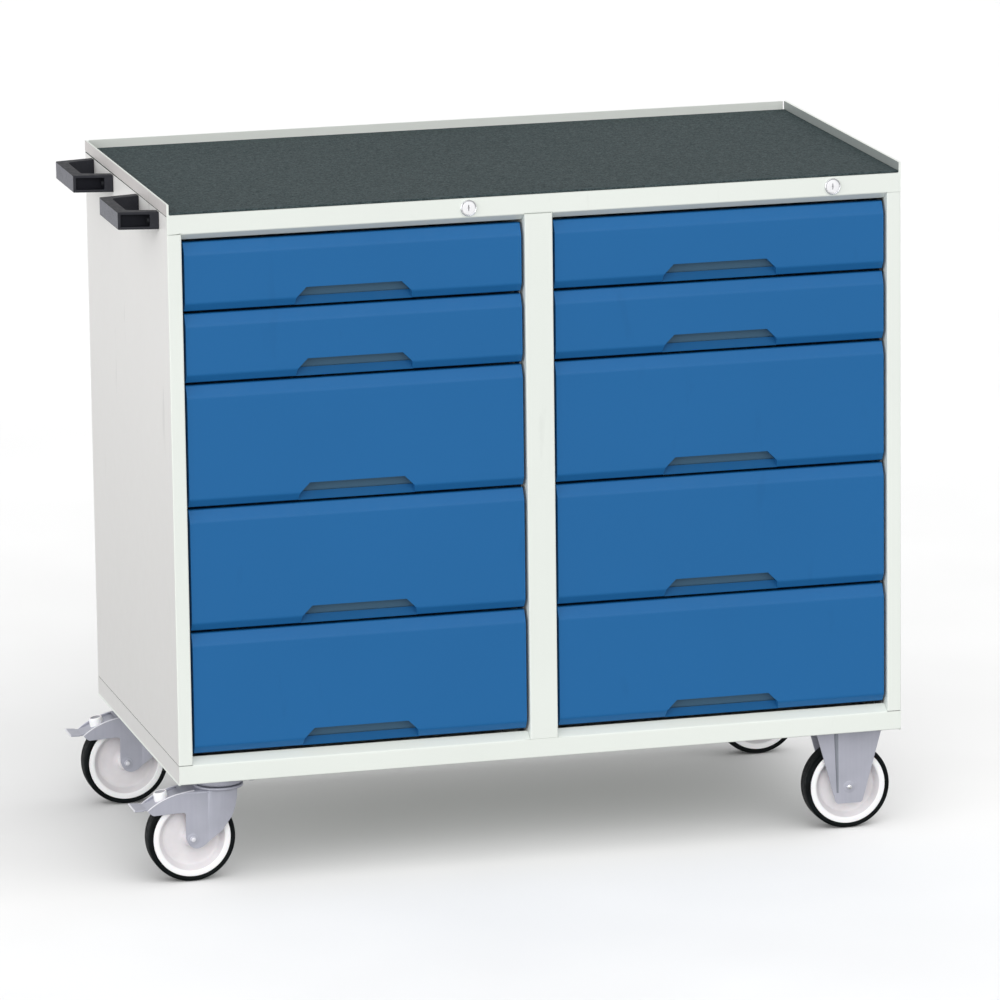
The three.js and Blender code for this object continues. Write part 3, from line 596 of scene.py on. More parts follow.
def sweep(name, path, radii, side, material, sides=12, squash=1.0):
    """A rod along a path of (x, y, z) millimetres; side is a direction square to the path."""
    side = Vector(side)
    points = [Vector(point) for point in path]
    bm = bmesh.new()
    rings = []
    for k, point in enumerate(points):
        along = (points[min(k + 1, len(points) - 1)] - points[max(k - 1, 0)]).normalized()
        up = side.cross(along).normalized()
        ring = []
        for step in range(sides):
            angle = 2 * math.pi * step / sides
            offset = up * (radii[k] * math.cos(angle)) + side * (squash * radii[k] * math.sin(angle))
            ring.append(bm.verts.new((point + offset) * MM))
        rings.append(ring)
    for here, there in zip(rings, rings[1:]):
        wall_between(bm, here, there)
    bm.faces.new(rings[0])
    bm.faces.new(rings[-1])
    return from_bmesh(name, bm, material)


# ---------- carcass ----------
def carcass(paint, side_light_and_shade_paint, lip_side_shade, lip_rear_shade, lip_outer_shade):
    pieces = {
        "base_tray": "base_shell",
        "side_panel_left": "side_shell_left",
        "side_panel_right": "side_shell_right",
        "centre_partition": "centre_post",
        "back_panel": "back_sheet",
        "top_panel": "roof_sheet",
        "top_tray": "tray_shell",
    }
    for node, name in pieces.items():
        sheet = sheet_metal(node, name, paint, convex=node == "base_tray")
        shell = add_to(sheet, "cabinet")
        if node == "top_tray":
            paint_lip_shade(shell, lip_side_shade, lip_rear_shade, lip_outer_shade)
        else:
            outer_faces(shell, side_light_and_shade_paint)


SKIN = 0.6 * MM  # a face this near to the outside counts as outer


def outer_faces(shell, material):
    """The broad outer faces at the cabinet's two ends, given a lighter, warmer copy of the frame paint:
    painted light for how the light falls on the ends, with painted shade towards the floor.
    """
    more_materials(shell, material)
    low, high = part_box("base_tray")

    def at_end(face):
        outside = face.center.x < low.x + SKIN or face.center.x > high.x - SKIN
        return outside and abs(face.normal.x) > 0.95

    paint_faces(shell, 1, at_end)


LIP = 13 * MM


def paint_lip_shade(shell, lip_side_shade, lip_rear_shade, lip_outer_shade):
    """The side and rear lips of the tray get darker copies of the frame paint as painted shade: the inner
    faces of the side lips and of the rear lip, and the outer faces of the side lips.
    """
    more_materials(shell, lip_side_shade, lip_rear_shade, lip_outer_shade)
    low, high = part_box("top_tray")
    lip = high.z - LIP
    for face in shell.data.polygons:
        x, y, z = face.center
        on_side = abs(face.normal.x) > 0.9
        outside = x < low.x + SKIN or x > high.x - SKIN
        if on_side and outside:
            face.material_index = 3
        elif z > lip and on_side and face.normal.x * x < 0:
            face.material_index = 1
        elif z > lip and face.normal.y < -0.9 and y > 0:
            face.material_index = 2


STRIP = 0.8 * MM
STRIP_PLAY = 0.05 * MM
STRIP_NEAR, STRIP_FAR = 0.15 * MM, 1 * MM  # behind the outer face
STRIP_END = 2 * MM


def seam_strips(seam_shade):
    """A thin dark strip in the seam below and above each side panel: painted shade that stands for the
    shadow in the gap.
    """
    base_low, base_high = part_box("base_tray")
    for side, sign, face in (("left", -1, base_low.x), ("right", 1, base_high.x)):
        low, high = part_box(f"side_panel_{side}")
        near, far = sorted((face - sign * STRIP_NEAR, face - sign * STRIP_FAR))
        strips = []
        for z in (low.z - STRIP_PLAY - STRIP, high.z + STRIP_PLAY):
            ends = (near, low.y + STRIP_END, z), (far, high.y - STRIP_END, z + STRIP)
            strips.append(soften(box_object("strip", *ends, seam_shade), 0.1 * MM, 1))
        add_to(joined(f"seam_strips_{side}", strips), "cabinet")


HEM_RADIUS = 1.9  # millimetres
HEM_INSET = 1.2 * MM
HEM_RISE = 0.4 * MM


def base_hems(paint):
    """A rolled edge along the lower rim of the base, at both ends."""
    low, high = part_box("base_tray")
    start, end = low.y / MM + 2, high.y / MM - 2
    tip, shoulder = HEM_RADIUS * 0.7, 0.6
    profile = [
        (0, start), (tip, start), (HEM_RADIUS, start + shoulder),
        (HEM_RADIUS, end - shoulder), (tip, end), (0, end),
    ]
    for side, x in (("left", low.x + HEM_INSET), ("right", high.x - HEM_INSET)):
        rod = lathe(f"base_hem_{side}", profile, paint, 16)
        transform(rod, Matrix.Rotation(-math.pi / 2, 4, "X"))
        add_to(shade(moved(rod, x, 0, low.z + HEM_RISE)), "cabinet")


def mat(rubber):
    add_to(refined("top_mat", "worktop_mat", rubber, 0.9 * MM, 3), "cabinet")


# ---------- drawers ----------
SHEET = 1.2 * MM
LEAN = 8 * MM
BEVEL = 12 * MM
BAND = 16 * MM
GRIP_HEIGHT = 26 * MM
GRIP_KNEE = 12 * MM
GRIP_HALF = (83.5 * MM, 81.5 * MM, 67.5 * MM)  # at the bottom, the knee and the top
GRIP_DEPTH = 15.5 * MM
LIP_RUN = 4.5 * MM
HOOK = 8 * MM
EDGE_SHADE = 1.8 * MM  # how far the paint at a front's lower edge is dark: painted shade for the shadowed gap below the front
HEM = 2 * SHEET


def front_profile(face, back, bottom, top):
    """(y, z) rows of the drawer front's skin, from the bottom return round to the top return."""
    corners = [
        (back, bottom), (face + LEAN, bottom), (face, bottom + BEVEL),
        (face, top - BAND), (face + LEAN, top), (back, top),
    ]
    rows = [corners[0]]
    for k in range(1, 5):
        radius = 1.6 * MM if k in (1, 4) else 2.5 * MM
        rows += bend_points(corners[k - 1], corners[k], corners[k + 1], radius, 4)
    rows.append(corners[5])
    return rows


def grip_half(height):
    """Half the grip's width at a height above the front's lower edge."""
    low, knee, high = GRIP_HALF
    if height <= GRIP_KNEE:
        return low + (knee - low) * height / GRIP_KNEE
    return knee + (high - knee) * (height - GRIP_KNEE) / (GRIP_HEIGHT - GRIP_KNEE)


def with_grip_rows(rows, bottom):
    """Adds skin rows at the grip's knee and upper edge, on the skin's own line."""
    wanted = [bottom + GRIP_KNEE, bottom + GRIP_HEIGHT]
    result = []
    for here, there in zip(rows, rows[1:]):
        result.append(here)
        for z in wanted:
            if here[1] + 1e-6 < z < there[1] - 1e-6:
                t = (z - here[1]) / (there[1] - here[1])
                result.append((here[0] + (there[0] - here[0]) * t, z))
    result.append(rows[-1])
    return result


def drawer_front(name, node, paint, recess_shade_paint, lip_shade_paint, edge_shade_paint):
    """A folded pan with a pressed grip, open at the back."""
    low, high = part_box(node)
    face, back, bottom, top = low.y, high.y, low.z, high.z
    middle, half = (low.x + high.x) / 2, (high.x - low.x) / 2
    rows = with_grip_rows(front_profile(face, back, bottom, top), bottom)
    edge = bottom + GRIP_HEIGHT
    bm = bmesh.new()
    top_half = GRIP_HALF[2]
    skin = []
    for y, z in rows:
        in_grip = y < face + LEAN - 0.2 * MM and z <= edge + 1e-6 and z > bottom + 0.2 * MM
        reach = grip_half(z - bottom) if z <= edge + 1e-6 else top_half
        xs = (-half, -reach, reach, half)
        skin.append((y, z, in_grip, [bm.verts.new((middle + x, y, z)) for x in xs]))
    for first, second in zip(skin, skin[1:]):
        a, b = first[3], second[3]
        open_strip = first[2] and second[2]
        for k in (0, 1, 2):
            if k == 1 and open_strip:
                continue
            strip = bm.faces.new((a[k], a[k + 1], b[k + 1], b[k]))
            height = (first[1] + second[1]) / 2
            # painted shade: the strips along a front's lower edge take the dark paint that stands for the
            # shadow in the gap below
            if height < bottom + EDGE_SHADE:
                strip.material_index = 3
    add_pocket(bm, [row for row in skin if row[2]], middle, face, bottom)
    for side in (0, 3):
        bm.faces.new([row[3][side] for row in skin])
    bmesh.ops.remove_doubles(bm, verts=bm.verts, dist=1e-6)
    obj = from_bmesh(name, bm, paint)
    more_materials(obj, recess_shade_paint, lip_shade_paint, edge_shade_paint)
    obj.data.shade_smooth()
    bevel = obj.modifiers.new("round", "BEVEL")
    bevel.width, bevel.segments = 0.8 * MM, 3
    bevel.limit_method = "ANGLE"
    bevel.angle_limit = math.radians(38)
    thickness = obj.modifiers.new("sheet", "SOLIDIFY")
    thickness.thickness = SHEET
    thickness.offset = -1
    weighted = obj.modifiers.new("weighted", "WEIGHTED_NORMAL")
    weighted.keep_sharp = True
    apply_modifiers(obj)
    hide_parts(node)
    return obj


def add_pocket(bm, open_rows, middle, face, bottom):
    """Lip, ledge, back wall, hook and roof of the grip, behind the skin's open rows."""
    wall = face + GRIP_DEPTH
    knee, edge = bottom + GRIP_KNEE, bottom + GRIP_HEIGHT
    base_y, base_z = open_rows[0][:2]

    def pair(y, z):
        reach = grip_half(min(z, edge) - bottom)
        return [bm.verts.new((middle + side * reach, y, z)) for side in (-1, 1)]

    lip = []
    for step in range(1, 6):
        t = step / 5
        lip.append(pair(base_y + LIP_RUN * t ** 0.8, base_z + (knee - base_z) * t))
    ledge, wall_top = pair(wall, knee), pair(wall, edge)
    hem, hook, roof = pair(face + HEM, edge), pair(face + HEM, edge + HOOK), pair(wall, edge + HOOK)
    mouth = [row[3][1:3] for row in open_rows]
    heights = [row[1] for row in open_rows]
    split = min(range(len(heights)), key=lambda k: abs(heights[k] - knee))

    def strip(first, second, material):
        quad = bm.faces.new((first[0], first[1], second[1], second[0]))
        quad.material_index = material

    # painted shade: the grip's lip takes a darker blue than the face
    for first, second in zip([mouth[0]] + lip, lip):
        strip(first, second, 2)
    # painted shade: the grip's ledge, back wall and roof take a dark grey-blue that stands for the shade
    # deep in the pocket
    strip(lip[-1], ledge, 1)
    strip(ledge, wall_top, 1)
    strip(wall_top, roof, 1)
    for first, second in ((roof, hook), (hook, hem), (hem, mouth[-1])):
        strip(first, second, 0)
    for side in (0, 1):
        bm.faces.new([row[side] for row in mouth[:split + 1] + lip[::-1]])
        bm.faces.new([row[side] for row in mouth[split:] + [wall_top, ledge, lip[-1]]])
        bm.faces.new([row[side] for row in (mouth[-1], hem, hook, roof, wall_top)])


def drawers(front_paints, box_paint):
    for column in COLUMNS:
        for index in DRAWERS:
            label = f"{column}_{index}"
            body = f"drawer_{label}"
            front = drawer_front(f"front_shell_{label}", f"drawer_front_{label}", *front_paints)
            add_to(front, body)
            names = f"drawer_box_{label}", f"box_shell_{label}"
            shell = sheet_metal(*names, box_paint, 1.2 * MM, 0.3 * MM, convex=True)
            add_to(shell, body)


def runners(steel):
    for column in COLUMNS:
        for side in ("outer", "inner"):
            node = f"runner_rack_{column}_{side}"
            add_to(refined(node, f"rack_{column}_{side}", steel, 0.4 * MM), "cabinet")


# ---------- locks ----------
RING_RISE = 2.8  # millimetres


def locks(chrome, satin, steel):
    for column in COLUMNS:
        low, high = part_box(f"lock_housing_{column}")
        x, z = (low.x + high.x) / 2, (low.z + high.z) / 2
        face = low.y + RING_RISE * MM
        profile = [
            (6.25, -20), (9, -20), (9, 0.3), (11.2, 0.3), (11.5, 0.7), (11.5, 2.0), (11.3, 2.5),
            (10.8, RING_RISE), (10.3, 2.6), (10.1, 2.1), (10.0, 0.7), (6.25, 0.7), (6.25, -20),
        ]
        ring = turned_on_y(f"lock_ring_{column}", profile, chrome)
        shade(moved(ring, x, face, z))
        stand_for(ring, f"lock_housing_{column}", "cabinet")
        plug = lock_plug(column, x, face, z, satin)
        stand_for(plug, f"lock_plug_{column}", f"lock_plug_{column}")
        bar = refined(f"lock_bar_{column}", f"lock_rod_{column}", steel, 0.3 * MM)
        add_to(bar, f"lock_bar_{column}")


def lock_plug(column, x, face, z, satin):
    """The turning core: a domed face with a key slot, and the crank at its tail."""
    profile = [
        (0, -23), (11, -23), (11, -20.6), (6, -20.5), (6, 0.9), (9.0, 0.9), (9.3, 1.1), (9.3, 1.9),
        (9.0, 2.3), (8.4, 2.5), (0, 2.6),
    ]
    core = turned_on_y(f"lock_core_{column}", profile, satin, 64)
    slot = box_object("slot", (-0.7 * MM, -4 * MM, -4.2 * MM), (0.7 * MM, 4 * MM, 4.2 * MM), satin)
    boolean(core, slot, "DIFFERENCE")
    cross = box_object("cross", (-1.5 * MM, -4 * MM, -0.9 * MM), (1.5 * MM, 2.5 * MM, 0.9 * MM), satin)
    boolean(core, cross, "DIFFERENCE")
    pin = turned_on_y("pin", [(0, -30), (1.6, -30), (2, -29.6), (2, -22), (0, -22)], satin, 32)
    moved(pin, 8 * MM, 0, 0)
    soften(core, 0.12 * MM, 2, 40)
    shade(pin)
    return moved(joined(f"lock_core_{column}", [core, pin]), x, face, z)


# ---------- push handles ----------
WALL = 15 * MM
TAPER = 12 * MM
SCREW_X, SCREW_Y = 12.7 * MM, 7.5 * MM  # from the panel, and in from the handle's end


def push_handles(plastic, grip_face_plastic, pocket_shade_plastic, screw_steel):
    for end in ENDS:
        node = f"push_handle_{end}"
        low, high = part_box(node)
        tip, panel = low.x, high.x
        centre, foot = (low.y + high.y) / 2, (high.y - low.y) / 2
        grip = foot - TAPER
        bow = [
            (panel, -foot), (tip, -grip), (tip, grip), (panel, foot),
            (panel, foot - WALL), (tip + WALL, grip - WALL),
            (tip + WALL, WALL - grip), (panel, WALL - foot),
        ]
        outline = []
        for k, point in enumerate(bow):
            before, after = bow[k - 1], bow[(k + 1) % len(bow)]
            if abs(point[0] - panel) < 1e-6:
                outline.append(point)
            else:
                radius = 2 * MM if abs(point[0] - tip) < 1e-6 else 6 * MM
                outline += bend_points(before, point, after, radius, 5)
        height = high.z - low.z
        obj = prism(f"bow_{end}", outline, height, plastic)
        more_materials(obj, grip_face_plastic, pocket_shade_plastic)
        for side in (-1, 1):
            cutter = pocket_cutter(tip, panel, grip, foot, height, side, plastic)
            more_materials(cutter, grip_face_plastic, pocket_shade_plastic)
            # painted shade: the pocket's faces take a near-black plastic that stands for the shade inside
            # it
            paint_faces(cutter, 2, lambda face: True)
            boolean(obj, cutter, "DIFFERENCE")
        moved(obj, 0, centre, low.z)
        soften(obj, 0.9 * MM, 3, 40)
        grip_face_reach = tip + 0.5 * MM
        # the outward faces at the grip's tip take a lighter, grainier copy of the handle plastic
        paint_faces(obj, 1, lambda face: face.normal.x < -0.97 and face.center.x < grip_face_reach)
        stand_for(obj, node, "cabinet")
        screws = handle_screws(end, panel, centre, foot, (low.z + high.z) / 2, screw_steel)
        add_to(screws, "cabinet")


def pocket_cutter(tip, panel, grip, foot, height, side, material):
    """A wedge that is shallow at the grip and deep at the panel."""
    slope = (foot - grip) / (panel - tip)
    shallow, deep = tip + 4 * MM, panel - 12.5 * MM

    def face_at(x):
        return grip + (x - tip) * slope

    points = [
        (shallow, side * (face_at(shallow) + 2 * MM)), (deep, side * (face_at(deep) + 2 * MM)),
        (deep, side * (face_at(deep) - 11 * MM)), (shallow, side * (face_at(shallow) - 3 * MM)),
    ]
    return moved(prism("pocket", points, height - 8 * MM, material), 0, 0, 4 * MM)


def handle_screws(end, panel, centre, foot, z, steel):
    profile = [(0, 0), (4.2, 0), (4.2, 1.8), (3.4, 3), (1.8, 3.4), (1.8, 1.5), (0, 1.5)]
    heads = []
    for side in (-1, 1):
        head = transform(lathe("head", profile, steel, 32), Matrix.Rotation(-math.pi / 2, 4, "Y"))
        heads.append(shade(moved(head, panel - SCREW_X, centre + side * (foot - SCREW_Y), z)))
    return joined(f"handle_screws_{end}", heads)


# ---------- castors ----------
FORK_HALF = 21.3  # millimetres from a castor's middle plane to the outside of its fork
CROWN_TOP = 133.5
PLATE_HALF = (52.5, 42)
PLATE_SHEET = 2.7
BOLT_PLACE = (40, 30)
RIM_START = 46.5


def wheel(end, side, rubber, nylon, ring_nylon):
    middle = centre_of(f"castor_tyre_{side}_{end}")
    label = f"{side}_{end}"
    body = f"castor_wheel_{label}"
    tread = [
        (55.5, -14.6), (57.2, -15.3), (59.2, -15.9), (60.6, -15.2), (61.7, -13.6), (62.3, -11.2),
        (62.5, -8), (62.5, -5.4), (62.0, -5.0), (62.5, -4.6), (62.5, 4.6), (62.0, 5.0), (62.5, 5.4),
        (62.5, 8), (62.3, 11.2), (61.7, 13.6), (60.6, 15.2), (59.2, 15.9), (57.2, 15.3), (55.5, 14.6),
        (55.5, -14.6),
    ]
    tyre = turned_on_y(f"tread_{label}", tread, rubber, 128)
    shade(moved(tyre, *middle))
    stand_for(tyre, f"castor_tyre_{label}", body)
    half = [
        (4.4, 17.2), (9.5, 17.2), (10.6, 16.8), (11.2, 15.6), (12.8, 9.8), (15, 7.6), (20, 6.6), (36, 4.9),
        (39.5, 5.0), (41.5, 6.0), (45.6, 12.4), (46.8, 14.2), (48.0, 15.0), (49.2, 15.2), (54.0, 15.2),
        (54.9, 14.8), (55.2, 13.8),
    ]
    other_half = [(r, -h) for r, h in half]
    profile = other_half + half[::-1] + other_half[:1]
    centre = turned_on_y(f"wheel_disc_{label}", profile, nylon, 128)
    more_materials(centre, ring_nylon)
    # painted shade: inside the rim the disc keeps a darker, slightly pink copy of the rim's white nylon
    paint_faces(centre, 1, lambda face: face.center.xz.length > RIM_START * MM)
    shade(moved(centre, *middle))
    stand_for(centre, f"castor_wheel_{label}", body)


def axle(end, side, body, zinc, bright):
    """A rivet-like axle with a low bright head on each cheek."""
    middle = centre_of(f"castor_tyre_{side}_{end}")
    label = f"{side}_{end}"
    cheek = FORK_HALF + 0.1
    boss_profile = [(0, cheek), (8.6, cheek), (8.4, cheek + 0.15), (7.4, cheek + 0.4), (0, cheek + 0.5)]
    head_profile = [
        (0, cheek), (4.4, cheek), (4.4, cheek + 1.3), (4.0, cheek + 2.1), (3.0, cheek + 2.7),
        (1.8, cheek + 3.0), (0, cheek + 3.1),
    ]
    pieces = []
    for sign in (1, -1):
        # the head's bright material is, on the swivel castors, the light zinc of the painted highlights
        for profile, material in ((boss_profile, zinc), (head_profile, bright)):
            head = shade(turned_on_y("head", profile, material, 48))
            if sign < 0:
                transform(head, Matrix.Rotation(math.pi, 4, "Z"))
            pieces.append(head)
    shank = turned_on_y("shank", [(0, -24), (4, -24), (4, 24), (0, 24)], zinc, 32)
    pieces.append(soften(shank, 0.3 * MM, 2))
    bolt = moved(joined(f"axle_bolt_{label}", pieces), *middle)
    stand_for(bolt, f"castor_axle_{label}", body)


def plate_bolts(name, centre, plate_bottom, zinc):
    """Four low button-head bolts with a socket, under a castor plate."""
    profile = [(0, -1.2), (2.6, -1.2), (2.6, -2.6), (4.4, -2.6), (6.2, -2.1), (7.4, -1.0), (7.8, 0), (0, 0)]
    x, y = BOLT_PLACE
    pieces = []
    for dx, dy in ((-x, -y), (-x, y), (x, -y), (x, y)):
        head = lathe("head", profile, zinc, 40)
        pieces.append(shade(moved(head, centre.x + dx * MM, centre.y + dy * MM, plate_bottom)))
    return joined(name, pieces)


def top_plate(name, zinc):
    """A rounded plate, its upper face at z = 0."""
    x, y = PLATE_HALF
    corners = [(-x, -y), (x, -y), (x, y), (-x, y)]
    outline = []
    for k in range(4):
        outline += bend_points(corners[k - 1], corners[k], corners[(k + 1) % 4], 9, 6)
    plate = prism(name, [(a * MM, b * MM) for a, b in outline], PLATE_SHEET * MM, zinc)
    return soften(moved(plate, 0, 0, -PLATE_SHEET * MM), 0.6 * MM, 3)


def channel(name, y_half, sheet, top, bottom, x0, x1, radius, zinc):
    """An inverted U of sheet along X, with rounded shoulders; all in millimetres."""
    shoulder = y_half - radius, top - radius
    outside = [(y_half, bottom)] + arc(*shoulder, radius, 0, 90, 8)
    inside = [(y_half - sheet, bottom)] + arc(*shoulder, radius - sheet, 0, 90, 8)
    section = outside + [(-y, z) for y, z in reversed(outside)]
    section += [(-y, z) for y, z in inside] + inside[::-1]
    return long_prism(name, section, x0, x1, zinc)


def hood_arch():
    """The upper edge of the fork's wing, from its tip to the crown."""
    return curve((-106, 108), (-75, 134), (-24, CROWN_TOP), 20, 1)


def swivel_outline():
    """The swivel fork seen from the side, in (x, z) millimetres from the swivel axis and the floor."""
    points = [(22, CROWN_TOP)]
    points += curve((22, CROWN_TOP), (22, 110), (12.3, 91.4), 12, 1)
    points += [(-0.6, 73), (-26, 52.6)]
    points += curve((-26, 52.6), (-37, 45), (-46.6, 53), 8, 1)
    points += [(-51.6, 64), (-51.6, 98)]
    points += curve((-51.6, 98), (-52, 102), (-57, 102), 6, 1)
    points.append((-97, 100.2))
    points += curve((-97, 100.2), (-102, 102), (-106, 108), 6, 1)
    return points + hood_arch()


def swivel_fork(end, zinc, highlight_zinc):
    label = f"left_{end}"
    centre = centre_of(f"castor_plate_{label}")
    outline = swivel_outline()
    fork = channel(f"fork_{label}", FORK_HALF, 3, CROWN_TOP, 30, -120, 40, 6, zinc)
    boolean(fork, upright_prism("trim", outline, -30, 30, zinc), "INTERSECT")
    soften(fork, 0.6 * MM, 3, 40)
    pieces = [fork, crown_flange(zinc)]
    for side in (-1, 1):
        swelling = crown_bulge(side, zinc)
        boolean(swelling, upright_prism("trim", outline, -40, 40, zinc), "INTERSECT")
        pieces.append(soften(swelling, 0.5 * MM, 2, 50))
        # painted highlight: a thin bead of light zinc along the wing's arch stands for the light that its
        # edge catches
        edge = [(x, side * 20.9, z - 0.4) for x, z in [(-106, 108)] + hood_arch()[:-3]]
        pieces.append(shade(sweep("edge", edge, [0.9] * len(edge), (0, 1, 0), highlight_zinc)))
    whole = moved(joined(f"fork_{label}", pieces), centre.x, centre.y, 0)
    stand_for(whole, f"castor_fork_{label}", f"castor_swivel_{label}")


def crown_flange(zinc):
    """The round top of the fork, under the ball race."""
    top = CROWN_TOP + 3
    profile = [
        (7, CROWN_TOP - 1.5), (33, CROWN_TOP - 1.5), (34.4, CROWN_TOP - 0.9), (35, CROWN_TOP + 0.4),
        (35, top - 1.2), (34.5, top - 0.4), (33.4, top), (7, top), (7, CROWN_TOP - 1.5),
    ]
    return shade(lathe("flange", profile, zinc, 96))


def crown_bulge(side, zinc):
    """The cheek swells outwards between a crease and its rear edge, most at the crown."""
    bm = bmesh.new()
    rows = []
    crease, width, top, height = -20, 43, 132.6, 82
    for level in range(15):
        t = level / 14
        swell = 1.2 + 7.6 * (1 - t) ** 1.3
        row = []
        for k in range(21):
            u = k / 20
            rise = swell * math.sin(math.pi * u) ** 0.8 - 0.05
            place = crease + width * u, side * (FORK_HALF + rise), top - height * t
            row.append(bm.verts.new([value * MM for value in place]))
        rows.append(row)
    for here, there in zip(rows, rows[1:]):
        wall_between(bm, here, there, closed=False)
    front = boundary(rows)
    back = [bm.verts.new((v.co.x, side * 20 * MM, v.co.z)) for v in front]
    wall_between(bm, front, back)
    bm.faces.new(back)
    return from_bmesh("bulge", bm, zinc)


def boundary(rows):
    """The rim of a grid of vertices, in order."""
    rim = list(rows[0]) + [row[-1] for row in rows[1:]]
    rim += list(reversed(rows[-1][:-1])) + [row[0] for row in reversed(rows[1:-1])]
    return rim


def swivel_head(end, zinc):
    """Top plate, ball race and kingpin."""
    label = f"left_{end}"
    low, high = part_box(f"castor_plate_{label}")
    centre = (low + high) / 2
    plate = moved(top_plate("plate", zinc), 0, 0, high.z)
    top = high.z / MM - 1.5
    foot = CROWN_TOP + 4
    race = [
        (0, 127), (4.6, 127), (6, 128), (6, foot), (31, foot), (33, foot + 0.5), (34.2, foot + 1.8),
        (34.6, foot + 3.6), (34.6, top - 2), (33.8, top - 0.5), (33, top), (0, top),
    ]
    pieces = [plate, shade(lathe("race", race, zinc, 96))]
    head = moved(joined(f"swivel_head_{label}", pieces), centre.x, centre.y, 0)
    stand_for(head, f"castor_plate_{label}", "cabinet")
    bolts = plate_bolts(f"plate_bolts_{label}", centre, high.z - (PLATE_SHEET + 0.05) * MM, zinc)
    add_to(bolts, "cabinet")


PEDAL_SHEET = 2.4
PEDAL_HALF, TREAD_HALF = 16.8, 21
TREAD_START = -110.7
PIVOT_X, PIVOT_Z = -46, 129.3
KNOB_X, KNOB_Z = -81.5, 118.5
KNOB_LEAN = -0.2  # radians


def brake(end, zinc, highlight_zinc, nylon, dish_reflection_nylon):
    """The pedal: a bent sheet with a tread at its tip, its pivot tube, and a push button."""
    label = f"left_{end}"
    centre = centre_of(f"castor_plate_{label}")
    line = [(-46, 130.4), (-62, 127.3), (-80, 120.8), (-98, 111.8), (-106, 109.3), (-124, 110.2)]
    smooth = [line[0]]
    for k in range(1, len(line) - 1):
        smooth += bend_points(line[k - 1], line[k], line[k + 1], 3.4, 4)
    smooth += [(-110.2, 109.5), (-111.2, 109.6), line[-1]]
    tip = line[-1][0]
    edge = [(tip, -20.5 + 4.1 * k, line[-1][1] - 1.1) for k in range(11)]
    profile = [(0, -17.6), (2.7, -17.6), (2.7, 17.6), (0, 17.6)]
    tube = turned_on_y("pivot", profile, zinc, 32)
    soften(tube, 0.3 * MM, 2)
    moved(tube, PIVOT_X * MM, 0, PIVOT_Z * MM)
    # painted highlight: a bead of light zinc along the pedal's tip stands for the light that its edge
    # catches
    bead = shade(sweep("bead", edge, [1.3] * len(edge), (1, 0, 0), highlight_zinc))
    pieces = [pedal_sheet(smooth, zinc), tube, bead]
    pedal = moved(joined(f"pedal_{label}", pieces), centre.x, centre.y, 0)
    stand_for(pedal, f"brake_pedal_{label}", f"brake_{label}")
    dome = [
        (0, -1.4), (10.1, -1.4), (10.3, 0.8), (10.0, 8.4), (9.7, 10.0), (9.0, 11.1), (8.2, 11.5),
        (7.4, 11.1), (6.6, 9.9), (3.6, 9.2), (0, 9.0),
    ]
    knob = lathe(f"brake_button_{label}", dome, nylon, 64)
    more_materials(knob, dish_reflection_nylon)
    # painted reflection: the dish on the button's top takes a grey copy of the white nylon
    paint_faces(knob, 1, lambda face: face.center.xy.length < 7.2 * MM and face.center.z > 5 * MM)
    transform(knob, Matrix.Rotation(KNOB_LEAN, 4, "Y"))
    moved(knob, KNOB_X * MM, 0, KNOB_Z * MM)
    below = [(x, z - PEDAL_SHEET / 2) for x, z in line] + [(tip, 90), (line[0][0], 90)]
    boolean(knob, upright_prism("below", below, -16, 16, nylon), "DIFFERENCE")
    moved(shade(knob), centre.x, centre.y, 0)
    add_to(knob, f"brake_{label}")


def pedal_sheet(line, zinc):
    """A strip that follows a line in (x, z) and widens abruptly near its tip."""
    bm = bmesh.new()
    rows = []
    for x, z in line:
        half = PEDAL_HALF if x > TREAD_START else TREAD_HALF
        across = (-half, -half * 0.5, 0, half * 0.5, half)
        rows.append([bm.verts.new((x * MM, y * MM, z * MM)) for y in across])
    for here, there in zip(rows, rows[1:]):
        wall_between(bm, here, there, closed=False)
    obj = from_bmesh("sheet", bm, zinc)
    solid = obj.modifiers.new("thick", "SOLIDIFY")
    solid.thickness = PEDAL_SHEET * MM
    solid.offset = 0
    moved(apply_modifiers(obj), 0, 0, -PEDAL_SHEET / 2 * MM)
    return soften(obj, 0.6 * MM, 3, 40)


